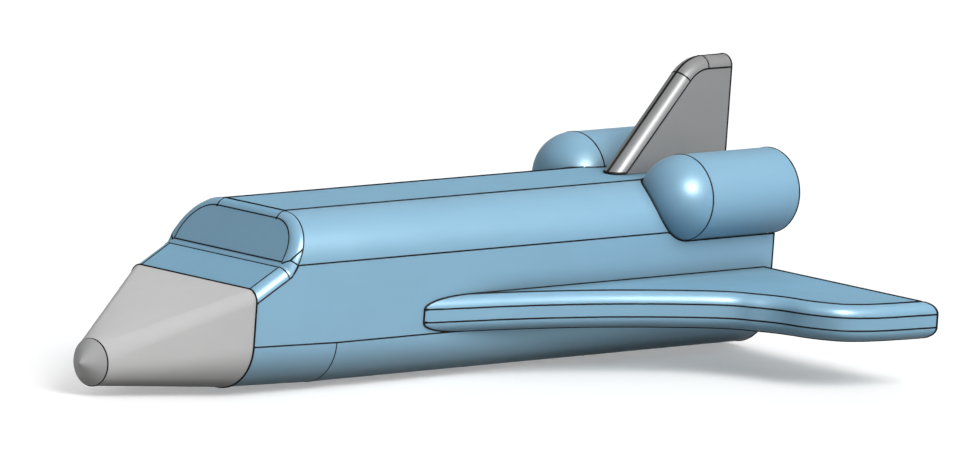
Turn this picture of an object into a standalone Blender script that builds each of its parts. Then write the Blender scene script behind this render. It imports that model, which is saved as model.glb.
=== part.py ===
# Toy space shuttle, a moulded plastic model about 300 mm long.
# Metres, +X to the nose, +Y to port, +Z up. The origin is on the floor, under the middle of the bounding box.
# Every piece is modelled from the tail plane (x), the centre plane (y) and the flat of the belly (z), and an
# empty then carries all of them to their place over the floor.

import math

import bmesh
import bpy
from mathutils import Matrix, Vector

# Fits
GAP = 0.0003
HALF_GAP = GAP / 2
EDGE_FILLET = 0.0039
FILLET_STEPS = 4
OVERSHOOT = 0.004
TINY = 0.000001
WELD_DISTANCE = 0.00001
SAME_WAY = 0.9999
LEAST_FILLET_ANGLE = math.radians(3)
SHARP_ANGLE = math.radians(25)
QUARTER = math.pi / 2

# Fuselage
BODY_HALF_WIDTH = 0.0292
BODY_HEIGHT = 0.0580
SHOULDER_RADIUS = 0.0154
CHINE_RADIUS = 0.0155
CORNER_STEPS = 8
HULL_LENGTH = 0.24825
BELLY_KINK_X = 0.2091
BELLY_RISE = 0.0009
BELLY_SEAM_Z = CHINE_RADIUS

# Cockpit
COWL_FRONT_Z = 0.0353
SCREEN_FOOT_X = 0.2344
SCREEN_FOOT_Z = 0.0423
SCREEN_HEAD_X = 0.2247
SCREEN_THICKNESS = 0.0014
SCREEN_INSET = 0.0001

# Roof panel
ROOF_HALF_WIDTH = BODY_HALF_WIDTH - SHOULDER_RADIUS
ROOF_THICKNESS = 0.0018

# Nose
NOSE_END_X = 0.2944
NOSE_END_Z = 0.0098
NOSE_END_RADIUS = 0.00783
NOSE_RINGS = 4
NOSE_FLAT_STEPS = 5
NOSE_TURN_SHARE = 0.5
TIP_LENGTH = 0.0054
TIP_BLUNT_RADIUS = 0.0009
TIP_BLUNT_STEPS = 3
TIP_STEPS = 36

# Wings
WING_TOP_Z = 0.02775
WING_BOTTOM_Z = 0.01555
WING_FILLET = EDGE_FILLET
WING_TRAILING_X = 0.0004
WING_STEPS_PER_SPAN = 3
# Columns: distance ahead of the tail plane, distance out from the centre plane
WING_EDGE = (
    (0.2080, 0.0211),
    (0.1670, 0.0298),
    (0.1263, 0.0375),
    (0.0918, 0.0477),
    (0.0613, 0.0621),
    (0.0525, 0.0714),
    (0.0482, 0.0785),
    (0.0452, 0.0885),
    (0.0393, 0.0976),
    (0.0309, 0.1022),
    (0.0201, 0.1045),
    (WING_TRAILING_X, 0.1064),
)

# Fin
FIN_HALF_THICKNESS = 0.0041
FIN_FILLET = EDGE_FILLET
FIN_TOP_Z = 0.0961
FIN_FOOT_X = 0.0540
FIN_SWEEP = math.radians(43.1)
FIN_CORNER_RADIUS = 0.0158
FIN_CORNER_STEPS = 6

# Pods
POD_Y = 0.0251
POD_Z = 0.0534
POD_RADIUS = 0.01443
POD_BARREL = 0.04265
POD_STEPS = 48
DOME_STEPS = 8

# Tail plate and engine bells
PLATE_HALF_WIDTH = 0.0262
PLATE_LOW_Z = 0.0026
PLATE_HIGH_Z = 0.0375
PLATE_LOW_RADIUS = 0.0130
PLATE_HIGH_RADIUS = 0.0030
PLATE_THICKNESS = 0.0016
BELL_LENGTH = 0.0060
BELL_MOUTH_RADIUS = 0.0080
BELL_THROAT_RADIUS = 0.0045
BELL_WALL = 0.0009
BELL_DISH_DEPTH = 0.0036
BELL_STEPS = 28
BELL_CURVE_STEPS = 4
# Columns: name, distance to port of the centre plane, height
ENGINE_BELLS = (
    ("engine_bell_top", 0.0, 0.0285),
    ("engine_bell_port", 0.0125, 0.0135),
    ("engine_bell_starboard", -0.0125, 0.0135),
)
POD_BELL_SCALE = 0.62

# Wheels
BELLY_CLEARANCE = 0.0013
WHEEL_RADIUS = 0.0060
WHEEL_WIDTH = 0.0048
WHEEL_BEVEL = 0.0007
WHEEL_STEPS = 32
HUB_RADIUS = 0.0036
HUB_RECESS = 0.0008
AXLE_RADIUS = 0.00125
AXLE_STEPS = 16
AXLE_END_GRIP = 0.0026
WELL_CLEARANCE = 0.0011
# Columns: name, distance ahead of the tail plane, track between the wheels' middles
AXLES = (
    ("front", 0.2250, 0.0090),
    ("main", 0.0700, 0.0170),
)

# Pegs and tenons that hold the pieces together
PEG_STEPS = 16
FIN_TENON_HALF_THICKNESS = 0.0024
FIN_TENON_DEPTH = 0.0080
# Columns: rear end and front end of each fin tenon
FIN_TENONS = ((0.0060, 0.0180), (0.0270, 0.0390))
WING_TONGUE_DEPTH = 0.0050
WING_TONGUE_HALF_HEIGHT = 0.0024
# Columns: rear end and front end of each wing tongue
WING_TONGUES = ((0.0140, 0.0380), (0.0800, 0.1040))
NOSE_SPIGOT_RADIUS = 0.0080
NOSE_SPIGOT_DEPTH = 0.0060
NOSE_SPIGOT_Z = 0.0256
TIP_PEG_RADIUS = 0.0030
TIP_PEG_DEPTH = 0.0040
POD_PEG_RADIUS = 0.0030
POD_PEG_DEPTH = 0.0040
POD_PEG_X = 0.0240
POD_PEG_LEAN = 0.5
DOME_PEG_RADIUS = 0.0050
DOME_PEG_DEPTH = 0.0040
PLATE_PEG_RADIUS = 0.0022
PLATE_PEG_DEPTH = 0.0040
# Columns: distance to port, height
PLATE_PEGS = ((0.0195, 0.0315), (-0.0195, 0.0315))
BELL_SPIGOT_RADIUS = 0.0026
BELL_SPIGOT_DEPTH = 0.0040
PEG_ROOT = 0.0008

# Place over the floor
OVERALL_FRONT_X = NOSE_END_X + TIP_LENGTH
OVERALL_REAR_X = -BELL_LENGTH
PLACE = Vector((-(OVERALL_FRONT_X + OVERALL_REAR_X) / 2, 0.0, BELLY_CLEARANCE))

# Colours, as red, green, blue, roughness and metallic value
SKY_BLUE = (0.245, 0.440, 0.600, 0.32, 0.0)
SHADE_BLUE = (0.150, 0.275, 0.370, 0.40, 0.0)
NOSE_GREY = (0.560, 0.560, 0.560, 0.35, 0.0)
TIP_GREY = (0.420, 0.420, 0.420, 0.35, 0.0)
FIN_GREY = (0.270, 0.270, 0.270, 0.35, 0.0)
TAIL_GREY = (0.110, 0.110, 0.120, 0.45, 0.0)
BELL_GREY = (0.080, 0.080, 0.085, 0.40, 0.2)
TYRE_BLACK = (0.030, 0.030, 0.032, 0.60, 0.0)
STEEL = (0.550, 0.550, 0.560, 0.30, 1.0)


def clear_scene():
    """Remove everything that the file opened with."""
    for thing in list(bpy.data.objects):
        bpy.data.objects.remove(thing, do_unlink=True)


def paint(name, colour):
    """Make one piece's own material."""
    red, green, blue, roughness, metallic = colour
    material = bpy.data.materials.new(name)
    material.use_nodes = True
    shader = material.node_tree.nodes["Principled BSDF"]
    shader.inputs["Base Color"].default_value = (red, green, blue, 1.0)
    shader.inputs["Roughness"].default_value = roughness
    shader.inputs["Metallic"].default_value = metallic
    return material


def new_object(name, bm):
    """Turn a bmesh into a linked object."""
    mesh = bpy.data.meshes.new(name)
    bm.to_mesh(mesh)
    bm.free()
    thing = bpy.data.objects.new(name, mesh)
    bpy.context.scene.collection.objects.link(thing)
    return thing


def bake(thing):
    """Replace an object's mesh by the mesh that its modifiers make."""
    graph = bpy.context.evaluated_depsgraph_get()
    graph.update()
    mesh = bpy.data.meshes.new_from_object(thing.evaluated_get(graph))
    thing.modifiers.clear()
    thing.data = mesh
    return thing


def combine(thing, tool, operation):
    """Join, cut or crop an object with a tool, and use the tool up."""
    modifier = thing.modifiers.new(operation.lower(), "BOOLEAN")
    modifier.operation = operation
    modifier.solver = "EXACT"
    modifier.object = tool
    bake(thing)
    bpy.data.objects.remove(tool, do_unlink=True)
    return thing


def cut(thing, tool):
    """Take a tool's space from an object."""
    return combine(thing, tool, "DIFFERENCE")


def crop(thing, tool):
    """Keep only what lies inside a tool."""
    return combine(thing, tool, "INTERSECT")


def weld(thing, tool):
    """Join a tool to an object."""
    return combine(thing, tool, "UNION")


def finish(thing, colour, parent, origin=Vector((0.0, 0.0, 0.0))):
    """Give a piece its material, its smooth shading, its origin and its parent."""
    thing.data.materials.clear()
    thing.data.materials.append(paint(thing.name, colour))
    thing.data.transform(Matrix.Translation(-origin))
    thing.data.shade_smooth()
    thing.data.set_sharp_from_angle(angle=SHARP_ANGLE)
    thing.parent = parent
    thing.location = origin
    return thing


def box(name, low, high):
    """Make a box between two corners."""
    bm = bmesh.new()
    bmesh.ops.create_cube(bm, size=1.0)
    size = Vector(high) - Vector(low)
    middle = (Vector(high) + Vector(low)) / 2
    bmesh.ops.scale(bm, vec=size, verts=bm.verts)
    bmesh.ops.translate(bm, vec=middle, verts=bm.verts)
    return new_object(name, bm)


def rod(name, start, end, radius, steps=PEG_STEPS):
    """Make a round rod between two points."""
    start, end = Vector(start), Vector(end)
    direction = end - start
    turn = Vector((0.0, 0.0, 1.0)).rotation_difference(direction).to_matrix().to_4x4()
    bm = bmesh.new()
    bmesh.ops.create_cone(
        bm, cap_ends=True, segments=steps, radius1=radius, radius2=radius, depth=direction.length,
        matrix=Matrix.Translation((start + end) / 2) @ turn,
    )
    return new_object(name, bm)


def arc(centre, radius, start, end, steps):
    """List points along an arc, both ends included. Angles in radians."""
    points = []
    for step in range(steps + 1):
        angle = start + (end - start) * step / steps
        points.append((centre[0] + radius * math.cos(angle), centre[1] + radius * math.sin(angle)))
    return points


def spread(start, end, steps):
    """List points along a straight line, both ends included."""
    points = []
    for step in range(steps + 1):
        share = step / steps
        points.append((start[0] + (end[0] - start[0]) * share, start[1] + (end[1] - start[1]) * share))
    return points


def extruded(name, outline, direction):
    """Make a prism from a flat outline of 3-D points and a direction."""
    bm = bmesh.new()
    face = bm.faces.new([bm.verts.new(point) for point in outline])
    result = bmesh.ops.extrude_face_region(bm, geom=[face])
    moved = [item for item in result["geom"] if isinstance(item, bmesh.types.BMVert)]
    bmesh.ops.translate(bm, vec=direction, verts=moved)
    bmesh.ops.recalc_face_normals(bm, faces=bm.faces)
    return new_object(name, bm)


def turned(name, profile, steps):
    """Turn a profile of (distance along the axis, radius) points about the X axis."""
    bm = bmesh.new()
    verts = [bm.verts.new((along, 0.0, radius)) for along, radius in profile]
    edges = [bm.edges.new(pair) for pair in zip(verts, verts[1:])]
    bmesh.ops.spin(
        bm, geom=verts + edges, cent=(0, 0, 0), axis=(1, 0, 0), angle=4 * QUARTER, steps=steps, use_merge=True,
    )
    bmesh.ops.remove_doubles(bm, verts=bm.verts, dist=WELD_DISTANCE)
    bmesh.ops.recalc_face_normals(bm, faces=bm.faces)
    return new_object(name, bm)


def body_section(rise):
    """Outline of the fuselage, as (y, z), with the belly up to its seam lifted by a rise."""
    chine_y = BODY_HALF_WIDTH - CHINE_RADIUS
    chine_z = CHINE_RADIUS + rise
    shoulder_z = BODY_HEIGHT - SHOULDER_RADIUS
    points = arc((chine_y, chine_z), CHINE_RADIUS, -QUARTER, 0.0, CORNER_STEPS)
    points += arc((ROOF_HALF_WIDTH, shoulder_z), SHOULDER_RADIUS, 0.0, QUARTER, CORNER_STEPS)
    return points + [(-y, z) for y, z in reversed(points)]


def screen_slope():
    """Angle of the windscreen above the horizontal."""
    return math.atan2(BODY_HEIGHT - SCREEN_FOOT_Z, SCREEN_FOOT_X - SCREEN_HEAD_X)


def cowl_slope():
    """Angle of the cowl above the horizontal."""
    return math.atan2(SCREEN_FOOT_Z - COWL_FRONT_Z, HULL_LENGTH - SCREEN_FOOT_X)


def whole_hull():
    """The outer shape of the fuselage, from the tail to the nose joint, with its cockpit and fillets."""
    sections = (
        (0.0, body_section(0.0)),
        (BELLY_KINK_X, body_section(0.0)),
        (HULL_LENGTH, body_section(BELLY_RISE)),
    )
    bm = bmesh.new()
    rings = []
    for x, section in sections:
        rings.append([bm.verts.new((x, y, z)) for y, z in section])
    for rear, front in zip(rings, rings[1:]):
        for index in range(len(rear)):
            after = (index + 1) % len(rear)
            bm.faces.new((rear[index], rear[after], front[after], front[index]))
    bm.faces.new(rings[0])
    bm.faces.new(rings[-1])
    bmesh.ops.recalc_face_normals(bm, faces=bm.faces)
    hull = new_object("hull", bm)

    # Above the cowl and ahead of the windscreen
    cowl_reach = HULL_LENGTH + OVERSHOOT
    cowl_low = COWL_FRONT_Z - OVERSHOOT * math.tan(cowl_slope())
    head_x = SCREEN_HEAD_X - OVERSHOOT / math.tan(screen_slope())
    profile = (
        (cowl_reach, cowl_low),
        (SCREEN_FOOT_X, SCREEN_FOOT_Z),
        (head_x, BODY_HEIGHT + OVERSHOOT),
        (cowl_reach, BODY_HEIGHT + OVERSHOOT),
    )
    side = BODY_HALF_WIDTH + OVERSHOOT
    cutter = extruded("cockpit_cutter", [(x, -side, z) for x, z in profile], (0.0, 2 * side, 0.0))
    cut(hull, cutter)

    # One fillet radius round the windscreen, the brow and the cowl, whatever the angle of the edge
    screen = Vector((math.sin(screen_slope()), 0.0, math.cos(screen_slope())))
    cowl = Vector((math.sin(cowl_slope()), 0.0, math.cos(cowl_slope())))
    forward = Vector((1.0, 0.0, 0.0))
    bm = bmesh.new()
    bm.from_mesh(hull.data)
    weight = bm.edges.layers.float.new("bevel_weight_edge")
    for edge in bm.edges:
        if len(edge.link_faces) != 2:
            continue
        normals = [face.normal for face in edge.link_faces]
        sloped = any(normal.dot(plane) > SAME_WAY for normal in normals for plane in (screen, cowl))
        at_nose = any(normal.dot(forward) > SAME_WAY for normal in normals)
        angle = normals[0].angle(normals[1])
        if sloped and not at_nose and angle > LEAST_FILLET_ANGLE:
            edge[weight] = math.tan(angle / 2)
    bm.to_mesh(hull.data)
    bm.free()
    bevel = hull.modifiers.new("fillets", "BEVEL")
    bevel.limit_method = "WEIGHT"
    bevel.offset_type = "OFFSET"
    bevel.width = EDGE_FILLET
    bevel.segments = FILLET_STEPS
    bevel.profile = 0.5
    bevel.use_clamp_overlap = False
    return bake(hull)


def screen_outline(hull, inset):
    """The flat of the windscreen, drawn in by an inset, as a list of points."""
    normal = Vector((math.sin(screen_slope()), 0.0, math.cos(screen_slope())))
    bm = bmesh.new()
    bm.from_mesh(hull.data)
    others = [face for face in bm.faces if face.normal.dot(normal) < SAME_WAY]
    bmesh.ops.delete(bm, geom=others, context="FACES")
    bmesh.ops.dissolve_faces(bm, faces=bm.faces)
    bmesh.ops.inset_region(bm, faces=bm.faces, thickness=inset, use_boundary=True, use_even_offset=True)
    inner = max(bm.faces, key=lambda face: face.calc_area())
    points = [vert.co.copy() for vert in inner.verts]
    bm.free()
    return points, normal


def peg(guest, host, start, end, radius):
    """A round peg on one piece and the blind hole for it in another."""
    start, end = Vector(start), Vector(end)
    along = (end - start).normalized()
    weld(guest, rod("peg", start - along * PEG_ROOT, end, radius))
    cut(host, rod("hole", start - along * PEG_ROOT, end + along * GAP, radius + GAP))


def key(guest, hosts, low, high, clear):
    """A square tenon on one piece and its slot in others. Clear names the sides that get a gap."""
    weld(guest, box("tenon", low, high))
    wide_low = Vector(low) - Vector(clear) * GAP
    wide_high = Vector(high) + Vector(clear) * GAP
    for host in hosts:
        cut(host, box("slot", wide_low, wide_high))


def below_seam(start, end, lift):
    """A block that reaches from under the fuselage to the belly seam, which rises ahead of the kink."""
    slope = BELLY_RISE / (HULL_LENGTH - BELLY_KINK_X)
    side = BODY_HALF_WIDTH + OVERSHOOT
    profile = [(start, -OVERSHOOT), (end, -OVERSHOOT)]
    stations = {start, end}
    if start < BELLY_KINK_X < end:
        stations.add(BELLY_KINK_X)
    for x in sorted(stations, reverse=True):
        profile.append((x, BELLY_SEAM_Z + lift + slope * max(0.0, x - BELLY_KINK_X)))
    return extruded("below_seam", [(x, -side, z) for x, z in profile], (0.0, 2 * side, 0.0))


def fuselage(parts):
    """Upper fuselage, belly pieces, roof panel and windscreen."""
    hull = whole_hull()
    reach = HULL_LENGTH + OVERSHOOT
    top = BODY_HEIGHT + OVERSHOOT

    rear = hull.copy()
    rear.data = hull.data.copy()
    front = hull.copy()
    front.data = hull.data.copy()
    for piece, name in ((rear, "belly_rear"), (front, "belly_front")):
        piece.name = name
        bpy.context.scene.collection.objects.link(piece)
    low = -OVERSHOOT
    crop(rear, below_seam(low, BELLY_KINK_X - HALF_GAP, -HALF_GAP))
    crop(front, below_seam(BELLY_KINK_X + HALF_GAP, reach, -HALF_GAP))

    outline, normal = screen_outline(hull, SCREEN_INSET)
    recess = extruded("recess", [point + normal * OVERSHOOT for point in outline],
                      -normal * (OVERSHOOT + SCREEN_THICKNESS + GAP))
    panel_outline, normal = screen_outline(hull, SCREEN_INSET + GAP)
    screen = extruded("windscreen", panel_outline, -normal * SCREEN_THICKNESS)

    hull.name = "fuselage_upper"
    cut(hull, below_seam(low, reach, HALF_GAP))
    cut(hull, recess)
    roof_front = SCREEN_HEAD_X - EDGE_FILLET * math.tan(screen_slope() / 2)
    floor = BODY_HEIGHT - ROOF_THICKNESS
    cut(hull, box("roof_recess", (low, -ROOF_HALF_WIDTH, floor), (roof_front, ROOF_HALF_WIDTH, top)))
    roof = box("roof_panel", (0.0, GAP - ROOF_HALF_WIDTH, floor + GAP),
               (roof_front - GAP, ROOF_HALF_WIDTH - GAP, BODY_HEIGHT))
    parts.update(fuselage_upper=hull, belly_rear=rear, belly_front=front, windscreen=screen, roof_panel=roof)


def nose_sections():
    """The nose cone's rear section and its front circle, point for point, as (y, z) in two lists."""
    rise = EDGE_FILLET / math.cos(cowl_slope())
    corner = []
    for step in range(CORNER_STEPS + 1):
        angle = QUARTER * step / CORNER_STEPS
        corner.append((BODY_HALF_WIDTH - EDGE_FILLET + EDGE_FILLET * math.cos(angle),
                       COWL_FRONT_Z - rise + rise * math.sin(angle)))
    chine = arc((BODY_HALF_WIDTH - CHINE_RADIUS, CHINE_RADIUS + BELLY_RISE), CHINE_RADIUS, -QUARTER, 0.0,
                CORNER_STEPS)
    bottom = spread((0.0, BELLY_RISE), chine[0], NOSE_FLAT_STEPS)
    side = spread(chine[-1], corner[0], NOSE_FLAT_STEPS)
    top = spread(corner[-1], (0.0, COWL_FRONT_Z), NOSE_FLAT_STEPS)
    port = bottom + chine[1:] + side[1:] + corner[1:] + top[1:]

    # The rounds take more of the circle than their length alone would give them
    turns = [0.0] * len(bottom)
    turns += [0.5 * step / CORNER_STEPS for step in range(1, CORNER_STEPS + 1)]
    turns += [0.5] * (len(side) - 1)
    turns += [0.5 + 0.5 * step / CORNER_STEPS for step in range(1, CORNER_STEPS + 1)]
    turns += [1.0] * (len(top) - 1)
    lengths = [0.0]
    for (y0, z0), (y1, z1) in zip(port, port[1:]):
        lengths.append(lengths[-1] + math.hypot(y1 - y0, z1 - z0))
    circle = []
    for length, turn in zip(lengths, turns):
        share = NOSE_TURN_SHARE * turn + (1.0 - NOSE_TURN_SHARE) * length / lengths[-1]
        angle = math.pi * share - QUARTER
        circle.append((NOSE_END_RADIUS * math.cos(angle), NOSE_END_Z + NOSE_END_RADIUS * math.sin(angle)))
    whole = port + [(-y, z) for y, z in reversed(port[1:-1])]
    return whole, circle + [(-y, z) for y, z in reversed(circle[1:-1])]


def nose(parts):
    """Nose cone, lofted from the cowl's section to a circle, and its blunt tip."""
    big, small = nose_sections()
    bm = bmesh.new()
    start_x = HULL_LENGTH + GAP
    rings = []
    for ring in range(NOSE_RINGS + 1):
        share = ring / NOSE_RINGS
        x = start_x + (NOSE_END_X - start_x) * share
        verts = []
        for (y0, z0), (y1, z1) in zip(big, small):
            verts.append(bm.verts.new((x, y0 + (y1 - y0) * share, z0 + (z1 - z0) * share)))
        rings.append(verts)
    for rear, front in zip(rings, rings[1:]):
        for index in range(len(rear)):
            after = (index + 1) % len(rear)
            bm.faces.new((rear[index], rear[after], front[after], front[index]))
    bm.faces.new(rings[0])
    bm.faces.new(rings[-1])
    bmesh.ops.recalc_face_normals(bm, faces=bm.faces)
    cone = new_object("nose_cone", bm)

    # The tip is a shallow cone with a small round at its point
    run = TIP_LENGTH - GAP
    slope = math.atan2(NOSE_END_RADIUS, run)
    profile = [(0.0, 0.0), (0.0, NOSE_END_RADIUS)]
    blunt = TIP_BLUNT_RADIUS
    for along, out in arc((run - blunt, 0.0), blunt, QUARTER - slope, 0.0, TIP_BLUNT_STEPS):
        profile.append((along, max(out, 0.0)))
    tip = turned("nose_tip", profile, TIP_STEPS)
    tip.data.transform(Matrix.Translation((NOSE_END_X + GAP, 0.0, NOSE_END_Z)))
    parts.update(nose_cone=cone, nose_tip=tip)


def wing_edge_points():
    """The wing's outer edge, a smooth curve through the points of the table."""
    table = [Vector(point) for point in WING_EDGE]
    first = table[0] * 2 - table[1]
    last = table[-1] * 2 - table[-2]
    line = [first] + table + [last]
    points = []
    for index in range(1, len(line) - 2):
        before, start, end, after = line[index - 1: index + 3]
        for step in range(WING_STEPS_PER_SPAN):
            t = step / WING_STEPS_PER_SPAN
            leaving = (end - before) / 2
            arriving = (after - start) / 2
            points.append(
                start * (2 * t ** 3 - 3 * t ** 2 + 1) + leaving * (t ** 3 - 2 * t ** 2 + t)
                + end * (3 * t ** 2 - 2 * t ** 3) + arriving * (t ** 3 - t ** 2)
            )
    points.append(table[-1])
    return points


def wing(parts, side, name):
    """One slab wing with its rounded edges, cut off beside the fuselage."""
    edge = wing_edge_points()
    inner = WING_EDGE[0][1]
    outline = edge + [(WING_TRAILING_X, inner)]
    bm = bmesh.new()
    verts = [bm.verts.new((x, side * y, WING_BOTTOM_Z)) for x, y in outline]
    face = bm.faces.new(verts)
    result = bmesh.ops.extrude_face_region(bm, geom=[face])
    moved = [item for item in result["geom"] if isinstance(item, bmesh.types.BMVert)]
    bmesh.ops.translate(bm, vec=(0.0, 0.0, WING_TOP_Z - WING_BOTTOM_Z), verts=moved)
    bmesh.ops.recalc_face_normals(bm, faces=bm.faces)
    rounded = []
    for item in bm.edges:
        first, second = item.verts
        level = abs(first.co.z - second.co.z) < TINY
        at_root = abs(first.co.y) - inner < TINY and abs(second.co.y) - inner < TINY
        if level and not at_root:
            rounded.append(item)
    bmesh.ops.bevel(
        bm, geom=rounded, offset=WING_FILLET, offset_type="OFFSET", segments=FILLET_STEPS, profile=0.5,
        affect="EDGES", clamp_overlap=False, material=-1,
    )
    bmesh.ops.remove_doubles(bm, verts=bm.verts, dist=WELD_DISTANCE)
    root = BODY_HALF_WIDTH + GAP
    everything = list(bm.verts) + list(bm.edges) + list(bm.faces)
    bmesh.ops.bisect_plane(
        bm, geom=everything, plane_co=(0.0, side * root, 0.0), plane_no=(0.0, -side, 0.0), clear_outer=True,
    )
    open_edges = [item for item in bm.edges if item.is_boundary]
    bmesh.ops.holes_fill(bm, edges=open_edges)
    bmesh.ops.recalc_face_normals(bm, faces=bm.faces)
    parts[name] = new_object(name, bm)
    middle = (WING_TOP_Z + WING_BOTTOM_Z) / 2
    for rear, front in WING_TONGUES:
        ends = sorted((side * (root + PEG_ROOT), side * (root - GAP - WING_TONGUE_DEPTH)))
        low = (rear, ends[0], middle - WING_TONGUE_HALF_HEIGHT)
        high = (front, ends[1], middle + WING_TONGUE_HALF_HEIGHT)
        key(parts[name], [parts["fuselage_upper"]], low, high, (1.0, 1.0, 1.0))


def fin(parts):
    """Swept slab fin with rounded leading and top edges, held by two tenons in the roof."""
    foot = BODY_HEIGHT + GAP
    lean = QUARTER - FIN_SWEEP
    corner_x = FIN_FOOT_X - (FIN_TOP_Z - BODY_HEIGHT) * math.tan(FIN_SWEEP)
    back = FIN_CORNER_RADIUS * math.tan(lean / 2)
    centre = (corner_x - back, FIN_TOP_Z - FIN_CORNER_RADIUS)
    outline = [(0.0, foot)]
    outline.append((FIN_FOOT_X - GAP * math.tan(FIN_SWEEP), foot))
    outline += arc(centre, FIN_CORNER_RADIUS, QUARTER - lean, QUARTER, FIN_CORNER_STEPS)
    outline.append((0.0, FIN_TOP_Z))
    bm = bmesh.new()
    verts = [bm.verts.new((x, -FIN_HALF_THICKNESS, z)) for x, z in outline]
    face = bm.faces.new(verts)
    result = bmesh.ops.extrude_face_region(bm, geom=[face])
    moved = [item for item in result["geom"] if isinstance(item, bmesh.types.BMVert)]
    bmesh.ops.translate(bm, vec=(0.0, 2 * FIN_HALF_THICKNESS, 0.0), verts=moved)
    bmesh.ops.recalc_face_normals(bm, faces=bm.faces)
    rounded = []
    for item in bm.edges:
        first, second = item.verts
        across = abs(first.co.y - second.co.y) > TINY
        at_foot = first.co.z < foot + TINY and second.co.z < foot + TINY
        at_rear = first.co.x < TINY and second.co.x < TINY
        if not across and not at_foot and not at_rear:
            rounded.append(item)
    bmesh.ops.bevel(
        bm, geom=rounded, offset=FIN_FILLET, offset_type="OFFSET", segments=FILLET_STEPS, profile=0.5,
        affect="EDGES", clamp_overlap=False, material=-1,
    )
    bmesh.ops.recalc_face_normals(bm, faces=bm.faces)
    parts["fin"] = new_object("fin", bm)
    for rear, front in FIN_TENONS:
        low = (rear, -FIN_TENON_HALF_THICKNESS, BODY_HEIGHT - FIN_TENON_DEPTH)
        high = (front, FIN_TENON_HALF_THICKNESS, foot + PEG_ROOT)
        key(parts["fin"], [parts["roof_panel"], parts["fuselage_upper"]], low, high, (1.0, 1.0, 1.0))


def pod_profile(radius, barrel_start, barrel_end):
    """Side of a pod, from its flat rear end over the barrel to the point of its dome."""
    profile = [(barrel_start, 0.0), (barrel_start, radius)]
    for along, out in arc((barrel_end, 0.0), radius, QUARTER, 0.0, DOME_STEPS):
        profile.append((along, max(out, 0.0)))
    return profile


def pod(parts, side, name):
    """One engine pod, a barrel and a half-round dome, lying in a saddle of the fuselage."""
    place = Matrix.Translation((0.0, side * POD_Y, POD_Z))
    for host in ("fuselage_upper", "roof_panel"):
        saddle = turned("saddle", pod_profile(POD_RADIUS + GAP, -OVERSHOOT, POD_BARREL), POD_STEPS)
        saddle.data.transform(place)
        cut(parts[host], saddle)
    barrel_end = POD_BARREL - HALF_GAP
    barrel_profile = [(0.0, 0.0), (0.0, POD_RADIUS), (barrel_end, POD_RADIUS), (barrel_end, 0.0)]
    barrel = turned("pod_" + name, barrel_profile, POD_STEPS)
    dome_start = POD_BARREL + HALF_GAP
    dome_profile = [(dome_start, 0.0)]
    for along, out in arc((POD_BARREL, 0.0), POD_RADIUS, QUARTER, 0.0, DOME_STEPS):
        dome_profile.append((max(along, dome_start), max(out, 0.0)))
    dome = turned("pod_dome_" + name, dome_profile, POD_STEPS)
    for piece in (barrel, dome):
        piece.data.transform(place)
        parts[piece.name] = piece
    y = side * POD_Y
    peg(dome, barrel, (dome_start, y, POD_Z), (dome_start - DOME_PEG_DEPTH, y, POD_Z), DOME_PEG_RADIUS)
    down = Vector((0.0, -side * POD_PEG_LEAN, -1.0)).normalized()
    foot = Vector((POD_PEG_X, y, POD_Z)) + down * POD_RADIUS
    peg(barrel, parts["fuselage_upper"], foot - down * PEG_ROOT, foot + down * POD_PEG_DEPTH, POD_PEG_RADIUS)


def bell_profile(scale):
    """Side of an engine bell with a shallow dish in its mouth."""
    mouth = BELL_MOUTH_RADIUS * scale
    throat = BELL_THROAT_RADIUS * scale
    wall = BELL_WALL * scale
    length = BELL_LENGTH * scale
    dish = BELL_DISH_DEPTH * scale
    profile = [(-GAP, 0.0), (-GAP, throat)]
    for step in range(1, BELL_CURVE_STEPS + 1):
        share = step / BELL_CURVE_STEPS
        out = throat + (mouth - throat) * math.sin(share * QUARTER)
        profile.append((-GAP - (length - GAP) * share, out))
    profile.append((-length, mouth - wall))
    for step in range(1, BELL_CURVE_STEPS):
        angle = QUARTER * step / BELL_CURVE_STEPS
        profile.append((-length + dish * math.sin(angle), (mouth - wall) * math.cos(angle)))
    profile.append((-length + dish, 0.0))
    return profile


def bell(parts, name, y, z, scale, hosts):
    """One engine bell on its spigot."""
    piece = turned(name, bell_profile(scale), BELL_STEPS)
    piece.data.transform(Matrix.Translation((0.0, y, z)))
    radius = BELL_SPIGOT_RADIUS * scale
    weld(piece, rod("spigot", (-GAP - PEG_ROOT, y, z), (BELL_SPIGOT_DEPTH, y, z), radius))
    for host in hosts:
        cut(parts[host], rod("hole", (-OVERSHOOT, y, z), (BELL_SPIGOT_DEPTH + GAP, y, z), radius + GAP))
    parts[name] = piece


def plate_section(shrink):
    """Outline of the tail plate, as (y, z), drawn in by a shrink."""
    half = PLATE_HALF_WIDTH - shrink
    low, high = PLATE_LOW_Z + shrink, PLATE_HIGH_Z - shrink
    low_radius, high_radius = PLATE_LOW_RADIUS - shrink, PLATE_HIGH_RADIUS - shrink
    points = arc((half - low_radius, low + low_radius), low_radius, -QUARTER, 0.0, CORNER_STEPS)
    points += arc((half - high_radius, high - high_radius), high_radius, 0.0, QUARTER, CORNER_STEPS // 2)
    return points + [(-y, z) for y, z in reversed(points)]


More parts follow.
